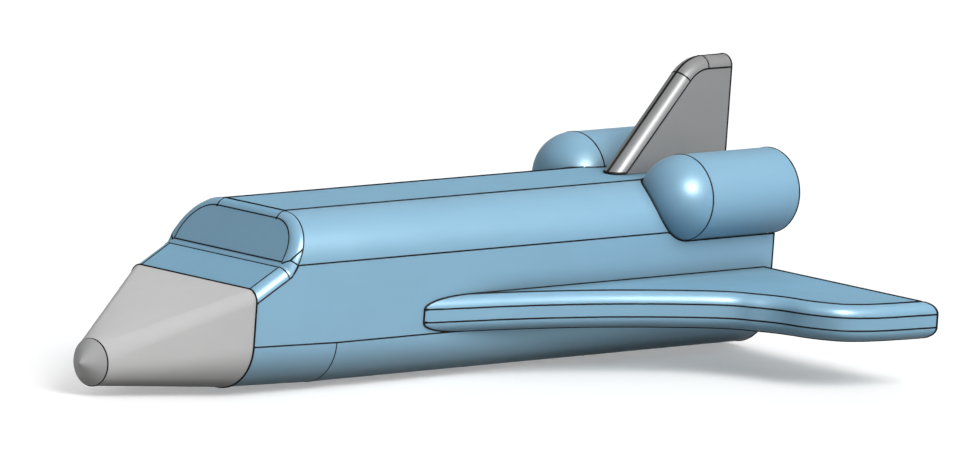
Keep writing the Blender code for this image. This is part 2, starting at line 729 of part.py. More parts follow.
def tail(parts):
    """Tail plate let into the rear face, its two pegs and the three engine bells."""
    hosts = ("fuselage_upper", "belly_rear")
    for host in hosts:
        recess = extruded("recess", [(-OVERSHOOT, y, z) for y, z in plate_section(0.0)],
                          (OVERSHOOT + PLATE_THICKNESS + GAP, 0.0, 0.0))
        cut(parts[host], recess)
    plate = extruded("tail_plate", [(0.0, y, z) for y, z in plate_section(GAP)], (PLATE_THICKNESS, 0.0, 0.0))
    parts["tail_plate"] = plate
    for y, z in PLATE_PEGS:
        start = (PLATE_THICKNESS, y, z)
        end = (PLATE_THICKNESS + PLATE_PEG_DEPTH, y, z)
        peg(plate, parts["fuselage_upper"], start, end, PLATE_PEG_RADIUS)
    for name, y, z in ENGINE_BELLS:
        bell(parts, name, y, z, 1.0, ("tail_plate", "fuselage_upper", "belly_rear"))
    for side, name in ((1, "port"), (-1, "starboard")):
        bell(parts, "pod_bell_" + name, side * POD_Y, POD_Z, POD_BELL_SCALE, ("pod_" + name,))


def nose_joints(parts):
    """Spigot behind the nose cone and peg behind the tip."""
    start = (HULL_LENGTH + GAP, 0.0, NOSE_SPIGOT_Z)
    end = (HULL_LENGTH - NOSE_SPIGOT_DEPTH, 0.0, NOSE_SPIGOT_Z)
    peg(parts["nose_cone"], parts["fuselage_upper"], start, end, NOSE_SPIGOT_RADIUS)
    start = (NOSE_END_X + GAP, 0.0, NOSE_END_Z)
    end = (NOSE_END_X - TIP_PEG_DEPTH, 0.0, NOSE_END_Z)
    peg(parts["nose_tip"], parts["nose_cone"], start, end, TIP_PEG_RADIUS)


def wheel_profile():
    """Side of a wheel about its axle, with a recessed hub on both faces and a bore."""
    half = WHEEL_WIDTH / 2
    bore = AXLE_RADIUS + GAP
    recess = half - HUB_RECESS
    rim = half - WHEEL_BEVEL
    tread = WHEEL_RADIUS - WHEEL_BEVEL
    return [
        (-recess, bore), (-recess, HUB_RADIUS), (-half, HUB_RADIUS), (-half, tread), (-rim, WHEEL_RADIUS),
        (rim, WHEEL_RADIUS), (half, tread), (half, HUB_RADIUS), (recess, HUB_RADIUS), (recess, bore),
        (-recess, bore),
    ]


def wheelset(parts, origins, name, x, track):
    """Two wheels on one axle, and the well and bearings for them in the belly."""
    z = WHEEL_RADIUS - BELLY_CLEARANCE
    centre = Vector((x, 0.0, z))
    turn = Matrix.Rotation(QUARTER, 4, "Z")
    for side, label in ((1, "port"), (-1, "starboard")):
        wheel = turned("%s_wheel_%s" % (name, label), wheel_profile(), WHEEL_STEPS)
        wheel.data.transform(Matrix.Translation(centre + Vector((0.0, side * track / 2, 0.0))) @ turn)
        parts[wheel.name] = wheel
        origins[wheel.name] = centre
    well_half = track / 2 + WHEEL_WIDTH / 2 + WELL_CLEARANCE
    reach = well_half + AXLE_END_GRIP
    axle = rod(name + "_axle", (x, -reach, z), (x, reach, z), AXLE_RADIUS, AXLE_STEPS)
    parts[axle.name] = axle
    origins[axle.name] = centre
    host = parts["belly_front" if name == "front" else "belly_rear"]
    clear = WHEEL_RADIUS + WELL_CLEARANCE
    cut(host, box("well", (x - clear, -well_half, -OVERSHOOT), (x + clear, well_half, z + clear)))
    cut(host, rod("bearing", (x, -reach - GAP, z), (x, reach + GAP, z), AXLE_RADIUS + GAP, AXLE_STEPS))


def build():
    """Build every piece and hang it on the empty that carries it to its place."""
    clear_scene()
    place = bpy.data.objects.new("shuttle_place", None)
    bpy.context.scene.collection.objects.link(place)
    place.location = PLACE
    parts = {}
    origins = {}
    fuselage(parts)
    nose(parts)
    nose_joints(parts)
    for side, name in ((1, "port"), (-1, "starboard")):
        wing(parts, side, "wing_" + name)
        pod(parts, side, name)
    fin(parts)
    tail(parts)
    for name, x, track in AXLES:
        wheelset(parts, origins, name, x, track)
    colours = {
        "nose_cone": NOSE_GREY, "nose_tip": TIP_GREY, "fin": FIN_GREY, "tail_plate": TAIL_GREY,
        "windscreen": SHADE_BLUE,
    }
    for name, piece in parts.items():
        colour = colours.get(name, SKY_BLUE)
        if "bell" in name:
            colour = BELL_GREY
        elif "wheel" in name:
            colour = TYRE_BLACK
        elif "axle" in name:
            colour = STEEL
        finish(piece, colour, place, origins.get(name, Vector((0.0, 0.0, 0.0))))


build()
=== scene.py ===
"""Looks of the toy space shuttle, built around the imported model.

Lengths are in metres. Shapes are worked out from the tail plane (x), the centre plane (y) and the flat of the
belly (z), with +X to the nose and +Y to port, and are then moved to the frame's place over the floor.
"""

import logging
import math
from dataclasses import dataclass, field, replace
from enum import Enum
from typing import Callable, Iterable, Mapping, Sequence

import bmesh
import bpy
from mathutils import Matrix, Vector
from mathutils.bvhtree import BVHTree


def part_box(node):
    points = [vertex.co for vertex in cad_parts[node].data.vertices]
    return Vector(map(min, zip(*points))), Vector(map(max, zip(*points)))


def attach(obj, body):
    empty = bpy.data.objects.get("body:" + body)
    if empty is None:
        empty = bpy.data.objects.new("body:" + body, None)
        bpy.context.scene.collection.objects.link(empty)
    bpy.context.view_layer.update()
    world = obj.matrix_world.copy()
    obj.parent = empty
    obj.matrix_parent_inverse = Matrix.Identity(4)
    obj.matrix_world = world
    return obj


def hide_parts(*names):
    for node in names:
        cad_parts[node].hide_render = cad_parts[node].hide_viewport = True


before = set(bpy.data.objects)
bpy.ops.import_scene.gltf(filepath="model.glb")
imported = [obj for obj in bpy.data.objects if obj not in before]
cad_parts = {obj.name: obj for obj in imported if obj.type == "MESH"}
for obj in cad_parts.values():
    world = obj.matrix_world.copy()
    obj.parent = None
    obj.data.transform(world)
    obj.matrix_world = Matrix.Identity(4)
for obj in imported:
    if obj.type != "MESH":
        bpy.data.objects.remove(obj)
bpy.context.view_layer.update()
BODY = "airframe"
QUARTER = math.pi / 2
GAP = 0.0003     # between neighbouring pieces
MID = GAP / 2    # from a piece to the middle of such a joint
REACH = 0.004    # how far a cutter stands out of what it cuts
HAIR = 1e-6      # places nearer than this are one
SPECK = 1e-5     # the same on a finished mesh
UPWARD = 0.75    # flat top faces have normals with more z than this
STRAIGHT = 0.02  # and with less y than this

logging.basicConfig(level=logging.INFO, format="%(message)s")
LOG = logging.getLogger("shuttle")

Spot = tuple[float, float, float]
Outline = list[tuple[float, float]]
Line = list[Vector]
Pair = tuple[Vector, Vector]
EndTest = Callable[[Vector, Vector], bool]


class Side(Enum):
    """The two sides of the shuttle, with the sign of y."""

    PORT = 1
    STARBOARD = -1

    @property
    def word(self) -> str:
        """The side's name in lower case."""
        return self.name.lower()


class Mark(Enum):
    """Slots that tell apart the faces of a solid while it is being shaped."""

    SKIN = 0
    ROUNDED = 1
    CUT = 2


class Seat(Enum):
    """How a dark line lies: its depth in the skin as a share of its radius, and its thickness."""

    GROOVE = (0.6, 0.62)
    INLAID = (0.76, 1.0)
    ROUND = (0.6, 1.0)
    CORNER = (0.45, 1.0)
    RIDGE = (-0.25, 0.68)

    @property
    def depth(self) -> float:
        """Depth of the middle, as a share of the line's radius."""
        return self.value[0]

    @property
    def thickness(self) -> float:
        """Thickness beside that of a full line."""
        return self.value[1]


@dataclass(frozen=True)
class Place:
    """Where the shuttle stands in the frame.

    Args:
        tail_x: The tail plane.
        belly_z: The flat of the belly.
    """

    tail_x: float
    belly_z: float

    @classmethod
    def from_frame(cls) -> "Place":
        """Read the place from the rear end and the underside of the belly."""
        return cls(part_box("belly_rear")[0][0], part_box("belly_rear")[0][2])

    def matrix(self) -> Matrix:
        """The move from shuttle measures to the frame."""
        return Matrix.Translation((self.tail_x, 0.0, self.belly_z))


PLACE = Place.from_frame()


# Materials

class Plumbing:
    """A small helper that adds and joins the nodes of one tree."""

    def __init__(self, tree: bpy.types.NodeTree) -> None:
        """Keep the tree that the nodes go into."""
        self.tree = tree

    def feed(self, node: bpy.types.Node, inputs: Mapping[str | int, object]) -> None:
        """Join a node's inputs to sockets, or give them their values.

        Args:
            node: The node.
            inputs: A socket or a value for each input, by its name or number.
        """
        for name, value in inputs.items():
            if isinstance(value, bpy.types.NodeSocket):
                self.tree.links.new(value, node.inputs[name])
            else:
                node.inputs[name].default_value = value

    def node(self, kind: str, inputs: Mapping[str | int, object] | None = None,
             **settings: object) -> bpy.types.Node:
        """Add a node.

        Args:
            kind: The node's type name.
            inputs: A socket or a value for each input, by its name or number.
            **settings: Values of the node's own options.

        Returns:
            The new node.
        """
        node = self.tree.nodes.new(kind)
        for name, value in settings.items():
            setattr(node, name, value)
        self.feed(node, inputs or {})
        return node

    def math(self, operation: str, first: object, second: object) -> bpy.types.NodeSocket:
        """Work out two sockets or numbers, and return the result."""
        return self.node("ShaderNodeMath", {0: first, 1: second}, operation=operation).outputs[0]

    def mix(self, share: object, first: object, second: object, blend: str = "MIX") -> bpy.types.NodeSocket:
        """Mix two colours, and return the result."""
        inputs = {"Factor": share, 6: first, 7: second}
        return self.node("ShaderNodeMix", inputs, data_type="RGBA", blend_type=blend).outputs[2]

    def noise(self, where: bpy.types.NodeSocket, scale: float, detail: float) -> bpy.types.NodeSocket:
        """Add noise of so many patches a metre and octaves, and return its value from 0 to 1."""
        inputs = {"Vector": where, "Scale": scale, "Detail": detail}
        return self.node("ShaderNodeTexNoise", inputs).outputs["Fac"]

    def remap(self, value: bpy.types.NodeSocket, old: tuple[float, float], low: object,
              high: object) -> bpy.types.NodeSocket:
        """Stretch a value from one range to another, which holds it, and return it."""
        inputs = {"Value": value, "From Min": old[0], "From Max": old[1], "To Min": low, "To Max": high}
        return self.node("ShaderNodeMapRange", inputs, clamp=True).outputs["Result"]


class MouldedSkin:
    """Shader group of moulded plastic: flow mottling, fine grain, rub marks, worn edges and painted corner
    shade.

    Its patterns are given by how many of their patches go on a metre.
    """

    NAME = "moulded_skin"
    COLOUR, NUMBER = "NodeSocketColor", "NodeSocketFloat"
    INPUTS = (
        ("Colour", COLOUR, (0.5, 0.5, 0.5, 1.0)), ("Worn Colour", COLOUR, (0.7, 0.7, 0.7, 1.0)),
        ("Mottling", NUMBER, 0.04), ("Gloss", NUMBER, 0.3), ("Gloss Spread", NUMBER, 0.035),
        ("Wear", NUMBER, 0.3), ("Crevice", NUMBER, 0.5), ("Shade", COLOUR, (1.0, 1.0, 1.0, 1.0)),
    )
    OUTPUTS = (("Colour", COLOUR), ("Roughness", NUMBER), ("Height", NUMBER))
    DRIFT, STREAK, RUBBED, HANDLED, WAVES, SPARKS = 26.0, 210.0, 480.0, 60.0, 150.0, 3600.0
    STREAK_STRETCH, STREAK_SHARE = (0.25, 1.0, 1.0), 0.35
    CORNER_REACH, BETWEEN_REACH, EDGE_RADIUS = 0.007, 0.03, 0.0006
    SPARK_HEIGHT, WAVE_HEIGHT = 0.05, 0.22

    @classmethod
    def group(cls) -> bpy.types.NodeTree:
        """Return the group, which is built once."""
        return bpy.data.node_groups.get(cls.NAME) or cls.build()

    @classmethod
    def build(cls) -> bpy.types.NodeTree:
        """Build the group.

        Returns:
            The group, with a colour, a roughness, and a height for bump.
        """
        group = bpy.data.node_groups.new(cls.NAME, "ShaderNodeTree")
        for name, kind, usual in cls.INPUTS:
            socket = group.interface.new_socket(name=name, in_out="INPUT", socket_type=kind)
            socket.default_value = usual
        for name, kind in cls.OUTPUTS:
            group.interface.new_socket(name=name, in_out="OUTPUT", socket_type=kind)
        pipes = Plumbing(group)
        given = pipes.node("NodeGroupInput").outputs
        where = pipes.node("ShaderNodeTexCoord").outputs["Object"]

        # Slow drift of the pigment, short flow streaks along the mould, and painted shade in corners and between
        # parts
        stretch = pipes.node("ShaderNodeMapping", {"Vector": where, "Scale": cls.STREAK_STRETCH})
        drift = pipes.math("MULTIPLY", pipes.noise(where, cls.DRIFT, 2.0), 1.0 - cls.STREAK_SHARE)
        streak = pipes.noise(stretch.outputs["Vector"], cls.STREAK, 3.0)
        tone = pipes.math("ADD", drift, pipes.math("MULTIPLY", streak, cls.STREAK_SHARE))
        swing = pipes.remap(tone, (0.3, 0.7), pipes.math("MULTIPLY", given["Mottling"], -1.0), given["Mottling"])
        corner, between = (
            pipes.node("ShaderNodeAmbientOcclusion", {"Distance": reach}, samples=8).outputs["AO"]
            for reach in (cls.CORNER_REACH, cls.BETWEEN_REACH))
        # Painted shade: ambient occlusion darkens tight corners by up to the given share
        depth = pipes.remap(corner, (0.45, 1.0), given["Crevice"], 0.0)
        between_shade = pipes.remap(between, (0.35, 0.95), 1.0, 0.0)
        # Painted shade: the colour is tinted darker where neighbouring pieces stand near
        shaded_colour = pipes.mix(between_shade, given["Colour"], given["Shade"], "MULTIPLY")
        value = pipes.math("MULTIPLY", pipes.math("ADD", swing, 1.0), pipes.math("SUBTRACT", 1.0, depth))
        bright = pipes.node("ShaderNodeHueSaturation", {"Color": shaded_colour, "Value": value})

        # Edges rubbed pale by hands, broken up by noise
        eased = pipes.node("ShaderNodeBevel", {"Radius": cls.EDGE_RADIUS}, samples=4).outputs["Normal"]
        plain = pipes.node("ShaderNodeNewGeometry").outputs["Normal"]
        turn = pipes.node("ShaderNodeVectorMath", {0: eased, 1: plain}, operation="DOT_PRODUCT")
        rim = pipes.remap(turn.outputs["Value"], (0.80, 0.98), 1.0, 0.0)
        broken = pipes.remap(pipes.noise(where, cls.RUBBED, 4.0), (0.46, 0.66), 0.0, 1.0)
        worn = pipes.math("MULTIPLY", pipes.math("MULTIPLY", rim, broken), given["Wear"])
        colour = pipes.mix(worn, bright.outputs["Color"], given["Worn Colour"])

        # Gloss is lower where the surface has been handled
        low, high = (pipes.math(sign, given["Gloss"], given["Gloss Spread"]) for sign in ("SUBTRACT", "ADD"))
        rough = pipes.remap(pipes.noise(where, cls.HANDLED, 5.0), (0.35, 0.65), low, high)

        # Spark grain of the mould over a faint waviness, which the bump's distance scales down
        spark = pipes.node("ShaderNodeTexVoronoi", {"Vector": where, "Scale": cls.SPARKS}, feature="SMOOTH_F1")
        height = pipes.math("ADD", pipes.math("MULTIPLY", spark.outputs["Distance"], cls.SPARK_HEIGHT),
                            pipes.math("MULTIPLY", pipes.noise(where, cls.WAVES, 1.0), cls.WAVE_HEIGHT))
        pipes.node("NodeGroupOutput", {"Colour": colour, "Roughness": rough, "Height": height})
        return group


def blank(name: str) -> tuple[bpy.types.Material, Plumbing, bpy.types.Node]:
    """Start a material.

    Args:
        name: Its name.

    Returns:
        The material, the plumbing of its nodes, and its shader.
    """
    material = bpy.data.materials.new(name)
    material.use_nodes = True
    return material, Plumbing(material.node_tree), material.node_tree.nodes["Principled BSDF"]


@dataclass(frozen=True)
class Finish:
    """What a piece is made of.

    Args:
        name: The material's name.
        slot: The record's material slot.
    """

    name: str
    slot: str

    def build(self) -> bpy.types.Material:
        """Build the material, as each kind of finish does in its own way."""
        raise NotImplementedError

    def material(self) -> bpy.types.Material:
        """Return the material, which is built once."""
        return bpy.data.materials.get(self.name) or self.build()


@dataclass(frozen=True)
class Plastic(Finish):
    """Moulded plastic of one colour.

    Args:
        colour: Red, green and blue, linear.
        gloss: Middle roughness.
        wear: How much of the edges is rubbed pale.
        coat: Weight of the clear surface gloss.
        mottling: How far the colour drifts.
        grain: Strength of the bump.
        specular: Strength of the gloss.
        tint: Colour of the gloss.
        crevice: How much shade is painted into tight corners.
        shade: Tint of the shade painted between neighbouring pieces.
        bump: Distance of the bump.
    """

    colour: Spot
    gloss: float = 0.42
    wear: float = 0.25
    coat: float = 0.05
    mottling: float = 0.030
    grain: float = 0.12
    specular: float = 0.5
    tint: Spot = (1.0, 1.0, 1.0)
    # Painted shade in tight corners and between neighbouring pieces
    crevice: float = 0.38
    shade: Spot = (0.96, 0.95, 0.94)
    bump: float = 0.0001

    def build(self) -> bpy.types.Material:
        """Build the material.

        Returns:
            The material.
        """
        material, pipes, shader = blank(self.name)
        skin = pipes.node("ShaderNodeGroup", {
            "Colour": (*self.colour, 1.0), "Worn Colour": (*(0.55 * part + 0.45 for part in self.colour), 1.0),
            "Mottling": self.mottling, "Gloss": self.gloss, "Wear": self.wear, "Crevice": self.crevice,
            "Shade": (*self.shade, 1.0),
        }, node_tree=MouldedSkin.group()).outputs
        grain = {"Strength": self.grain, "Distance": self.bump, "Height": skin["Height"]}
        pipes.feed(shader, {
            "Base Color": skin["Colour"], "Roughness": skin["Roughness"],
            "Normal": pipes.node("ShaderNodeBump", grain).outputs["Normal"],
            "Coat Weight": self.coat, "Coat Roughness": 0.2, "IOR": 1.5,
            "Specular IOR Level": self.specular, "Specular Tint": (*self.tint, 1.0),
        })
        return material


@dataclass(frozen=True)
class DrawnSteel(Finish):
    """Bright drawn wire, finely mottled."""

    def build(self) -> bpy.types.Material:
        """Build the material.

        Returns:
            The material.
        """
        material, pipes, shader = blank(self.name)
        where = pipes.node("ShaderNodeTexCoord").outputs["Object"]
        fine, broad = pipes.noise(where, 1800.0, 4.0), pipes.noise(where, 190.0, 3.0)
        ramp = pipes.node("ShaderNodeValToRGB", {"Fac": broad})
        ramp.color_ramp.elements[0].color = (0.30, 0.29, 0.28, 1.0)
        ramp.color_ramp.elements[1].color = (0.62, 0.62, 0.63, 1.0)
        pipes.feed(shader, {"Base Color": ramp.outputs["Color"], "Metallic": 1.0,
                            "Roughness": pipes.remap(fine, (0.3, 0.7), 0.24, 0.42)})
        return material


SKY_TINT = (0.62, 0.86, 1.0)
# Its shade is the tint of the shade painted between neighbouring pieces
SKY_BLUE = Plastic("moulded_sky_blue", "sky_blue_plastic", (0.238, 0.436, 0.592), tint=SKY_TINT,
                   shade=(0.92, 0.82, 0.76))
# Flat tops: a satin finish with less gloss, and a slightly darker copy of the sky blue as painted shade
SATIN_SHADED_BLUE = replace(SKY_BLUE, name="satin_shaded_sky_blue", colour=(0.214, 0.405, 0.553), gloss=0.5, coat=0.0,
                     specular=0.03)
SCREEN_BLUE = Plastic("moulded_screen_blue", "screen_blue_plastic", (0.237, 0.430, 0.578), tint=SKY_TINT)
NOSE_GREY = Plastic("moulded_nose_grey", "nose_grey_plastic", (0.545, 0.545, 0.545), gloss=0.6, coat=0.0,
                    specular=0.0)
TIP_GREY = Plastic("moulded_tip_grey", "tip_grey_plastic", (0.540, 0.542, 0.545), gloss=0.44, coat=0.0)
FIN_GREY = Plastic("moulded_fin_grey", "fin_grey_plastic", (0.266, 0.266, 0.266))
TAIL_GREY = Plastic("moulded_tail_grey", "tail_grey_plastic", (0.150, 0.153, 0.160), coat=0.0)
BELL_GREY = Plastic("moulded_bell_grey", "bell_grey_plastic", (0.085, 0.086, 0.090), gloss=0.36)
WHEEL_BLACK = Plastic("moulded_wheel_black", "wheel_black_plastic", (0.024, 0.024, 0.025), gloss=0.52,
                      coat=0.0)
LINE_INK = Plastic("panel_line_ink", "wheel_black_plastic", (0.006, 0.007, 0.008), gloss=0.6, wear=0.0,
                   coat=0.0, grain=0.1, specular=0.1, crevice=0.0)
STEEL = DrawnSteel("drawn_steel", "axle_steel")


# Shaping tools

def link_object(name: str, data: bpy.types.ID) -> bpy.types.Object:
    """Put a mesh, curve, camera or light into the scene as an object.

    Args:
        name: The object's name.
        data: What it shows.

    Returns:
        The object.
    """
    thing = bpy.data.objects.new(name, data)
    bpy.context.scene.collection.objects.link(thing)
    return thing


def marker(mark: Mark) -> bpy.types.Material:
    """The plain material that marks faces while a solid is shaped."""
    name = "mark_" + mark.name.lower()
    return bpy.data.materials.get(name) or bpy.data.materials.new(name)


def solid(name: str, bm: bmesh.types.BMesh, mark: Mark = Mark.SKIN) -> bpy.types.Object:
    """Turn a bmesh into an object whose faces carry marks.

    Args:
        name: The object's name.
        bm: The shape, which is used up.
        mark: The mark of all its faces, or SKIN for faces of the skin and its rounds.

    Returns:
        The object.
    """
    mesh = bpy.data.meshes.new(name)
    bm.to_mesh(mesh)
    bm.free()
    for kind in (Mark.SKIN, Mark.ROUNDED) if mark is Mark.SKIN else (mark,):
        mesh.materials.append(marker(kind))
    return link_object(name, mesh)


def evaluated(thing: bpy.types.Object) -> bpy.types.Mesh:
    """Make a mesh of an object with its modifiers.

    Args:
        thing: The object.

    Returns:
        The new mesh.
    """
    graph = bpy.context.evaluated_depsgraph_get()
    graph.update()
    return bpy.data.meshes.new_from_object(thing.evaluated_get(graph))


def bake(thing: bpy.types.Object) -> None:
    """Replace an object's mesh by what its modifiers make of it."""
    mesh = evaluated(thing)
    thing.modifiers.clear()
    thing.data = mesh


def combine(thing: bpy.types.Object, tool: bpy.types.Object, operation: str) -> bpy.types.Object:
    """Cut, crop or join an object with a tool, which is used up.

    Args:
        thing: The object that changes.
        tool: The other solid.
        operation: DIFFERENCE, INTERSECT or UNION.

    Returns:
        The changed object.
    """
    modifier = thing.modifiers.new(operation.lower(), "BOOLEAN")
    modifier.operation = operation
    modifier.solver = "EXACT"
    modifier.material_mode = "TRANSFER"
    modifier.object = tool
    bake(thing)
    bpy.data.objects.remove(tool, do_unlink=True)
    return thing


def carve(thing: bpy.types.Object, bm: bmesh.types.BMesh) -> None:
    """Cut a shape out of an object and mark the faces of the cut."""
    combine(thing, solid("cutter", bm, Mark.CUT), "DIFFERENCE")


def arc(centre: tuple[float, float], radius: float, start: float, end: float, steps: int) -> Outline:
    """List points along an arc, both ends included.

    Args:
        centre: The middle of the arc.
        radius: Its radius.
        start: The first angle.
        end: The last angle.
        steps: How many stretches it has.

    Returns:
        The points.
    """
    angles = (start + (end - start) * step / steps for step in range(steps + 1))
    return [(centre[0] + radius * math.cos(a), centre[1] + radius * math.sin(a)) for a in angles]


def spread(start: tuple[float, float], end: tuple[float, float], steps: int) -> Outline:
    """List points along a straight line, both ends included."""
    return [(start[0] + (end[0] - start[0]) * step / steps, start[1] + (end[1] - start[1]) * step / steps)
            for step in range(steps + 1)]


def mirrored(points: Outline) -> Outline:
    """The same points on the other side of the centre plane, in reverse order."""
    return [(-y, z) for y, z in reversed(points)]


def at_x(x: float, points: Outline) -> list[Spot]:
    """Stand an outline of y and z at a distance from the tail."""
    return [(x, y, z) for y, z in points]


def placed(bm: bmesh.types.BMesh, place: Sequence[float], axis: str = "") -> bmesh.types.BMesh:
    """Move a shape, after a quarter turn if an axis is named.

    Args:
        bm: The shape.
        place: Where its origin goes.
        axis: X, Y or Z.

    Returns:
        The same shape.
    """
    if axis:
        bmesh.ops.rotate(bm, cent=(0, 0, 0), matrix=Matrix.Rotation(QUARTER, 3, axis), verts=bm.verts)
    bmesh.ops.translate(bm, vec=place, verts=bm.verts)
    return bm


def box(low: Sequence[float], high: Sequence[float]) -> bmesh.types.BMesh:
    """Make a box.

    Args:
        low: Its lowest corner.
        high: Its highest corner.

    Returns:
        The box.
    """
    bm = bmesh.new()
    bmesh.ops.create_cube(bm, size=1.0)
    bmesh.ops.scale(bm, vec=Vector(high) - Vector(low), verts=bm.verts)
    return placed(bm, (Vector(high) + Vector(low)) / 2)


def prism(outline: Iterable[Sequence[float]], direction: Sequence[float]) -> bmesh.types.BMesh:
    """Extrude a flat outline.

    Args:
        outline: Its points in space, in order.
        direction: How far and which way it goes.

    Returns:
        The closed solid.
    """
    bm = bmesh.new()
    face = bm.faces.new([bm.verts.new(point) for point in outline])
    result = bmesh.ops.extrude_face_region(bm, geom=[face])
    moved = [item for item in result["geom"] if isinstance(item, bmesh.types.BMVert)]
    bmesh.ops.translate(bm, vec=direction, verts=moved)
    bmesh.ops.recalc_face_normals(bm, faces=bm.faces)
    return bm


def slab(side_view: Outline, half: float) -> bmesh.types.BMesh:
    """Extrude a side view, given as x and z, to the same width on both sides."""
    return prism([(x, -half, z) for x, z in side_view], (0.0, 2 * half, 0.0))


def turned(profile: Outline, steps: int) -> bmesh.types.BMesh:
    """Turn a profile about the X axis.

    Args:
        profile: Points as distance along the axis and radius.
        steps: How many facets go round.

    Returns:
        The closed solid.
    """
    bm = bmesh.new()
    verts = [bm.verts.new((along, 0.0, radius)) for along, radius in profile]
    edges = [bm.edges.new(pair) for pair in zip(verts, verts[1:])]
    bmesh.ops.spin(bm, geom=verts + edges, cent=(0, 0, 0), axis=(1, 0, 0), angle=2 * math.pi, steps=steps,
                   use_merge=True)
    bmesh.ops.remove_doubles(bm, verts=bm.verts, dist=HAIR)
    bmesh.ops.recalc_face_normals(bm, faces=bm.faces)
    return bm


def bisect(bm: bmesh.types.BMesh, place: Sequence[float], normal: Sequence[float], clear: bool) -> None:
    """Split all faces of a shape along a plane, and clear what lies beyond it if asked."""
    bmesh.ops.bisect_plane(bm, geom=[*bm.verts, *bm.edges, *bm.faces], plane_co=place, plane_no=normal,
                           clear_outer=clear)


def round_edges(bm: bmesh.types.BMesh, test: EndTest, radius: float,
                segments: int = 2) -> list[bmesh.types.BMFace]:
    """Round the edges whose ends pass a test.

    Args:
        bm: The shape.
        test: Takes the two ends of an edge.
        radius: How far the round starts from each edge.
        segments: How many strips it has.

    Returns:
        The faces of the rounds.
    """
    edges = [edge for edge in bm.edges if test(*(vert.co for vert in edge.verts))]
    result = bmesh.ops.bevel(bm, geom=edges, offset=radius, offset_type="OFFSET", segments=segments,
                             profile=0.5, affect="EDGES", clamp_overlap=False, material=-1)
    return result["faces"]


def ends_where(thing: bpy.types.Object, test: EndTest, shift: Spot = (0.0, 0.0, 0.0)) -> list[Pair]:
    """List the edges of an object whose ends pass a test.

    Args:
        thing: The object.
        test: Takes the two ends of an edge.
        shift: How far the ends are moved afterwards.

    Returns:
        The ends of each such edge.
    """
    move = Vector(shift)
    spots = [vert.co for vert in thing.data.vertices]
    pairs = ([spots[index] for index in edge.vertices] for edge in thing.data.edges)
    return [(first + move, second + move) for first, second in pairs if test(first, second)]


def borders(thing: bpy.types.Object, mark: Mark) -> list[Pair]:
    """List the edges between the faces of one mark and those of the marks before it.

    Args:
        thing: The object.
        mark: The mark.

    Returns:
        The ends of each such edge.
    """
    bm = bmesh.new()
    bm.from_mesh(thing.data)
    found = []
    for edge in bm.edges:
        if len(edge.link_faces) == 2:
            low, high = sorted(face.material_index for face in edge.link_faces)
            if low < mark.value == high:
                found.append(tuple(vert.co.copy() for vert in edge.verts))
    bm.free()
    return found


def chained(pairs: Iterable[Pair]) -> list[Line]:
    """Join loose edges end to end.

    Args:
        pairs: The ends of each edge.

    Returns:
        Lines that run from junction to junction, or round in a ring.
    """
    fineness = 2e5
    places: dict[tuple[int, ...], Vector] = {}
    ways: dict[tuple[int, ...], list[tuple[int, ...]]] = {}
    for pair in pairs:
        first, second = keys = [tuple(round(value * fineness) for value in point) for point in pair]
        places.update(zip(keys, pair))
        if first != second:
            ways.setdefault(first, []).append(second)
            ways.setdefault(second, []).append(first)
    used = set()
    lines = []
    starts = sorted(key for key, near in ways.items() if len(near) != 2) + sorted(ways)
    for start in starts:
        for there in sorted(ways[start]):
            line = [start]
            here = start
            while frozenset((here, there)) not in used:
                used.add(frozenset((here, there)))
                line.append(there)
                onward = [key for key in ways[there] if frozenset((there, key)) not in used]
                if len(ways[there]) != 2 or not onward:
                    break
                here, there = there, onward[0]
            if len(line) > 1:
                lines.append([places[key] for key in line])
    return lines


DRESSED: list[bpy.types.Object] = []


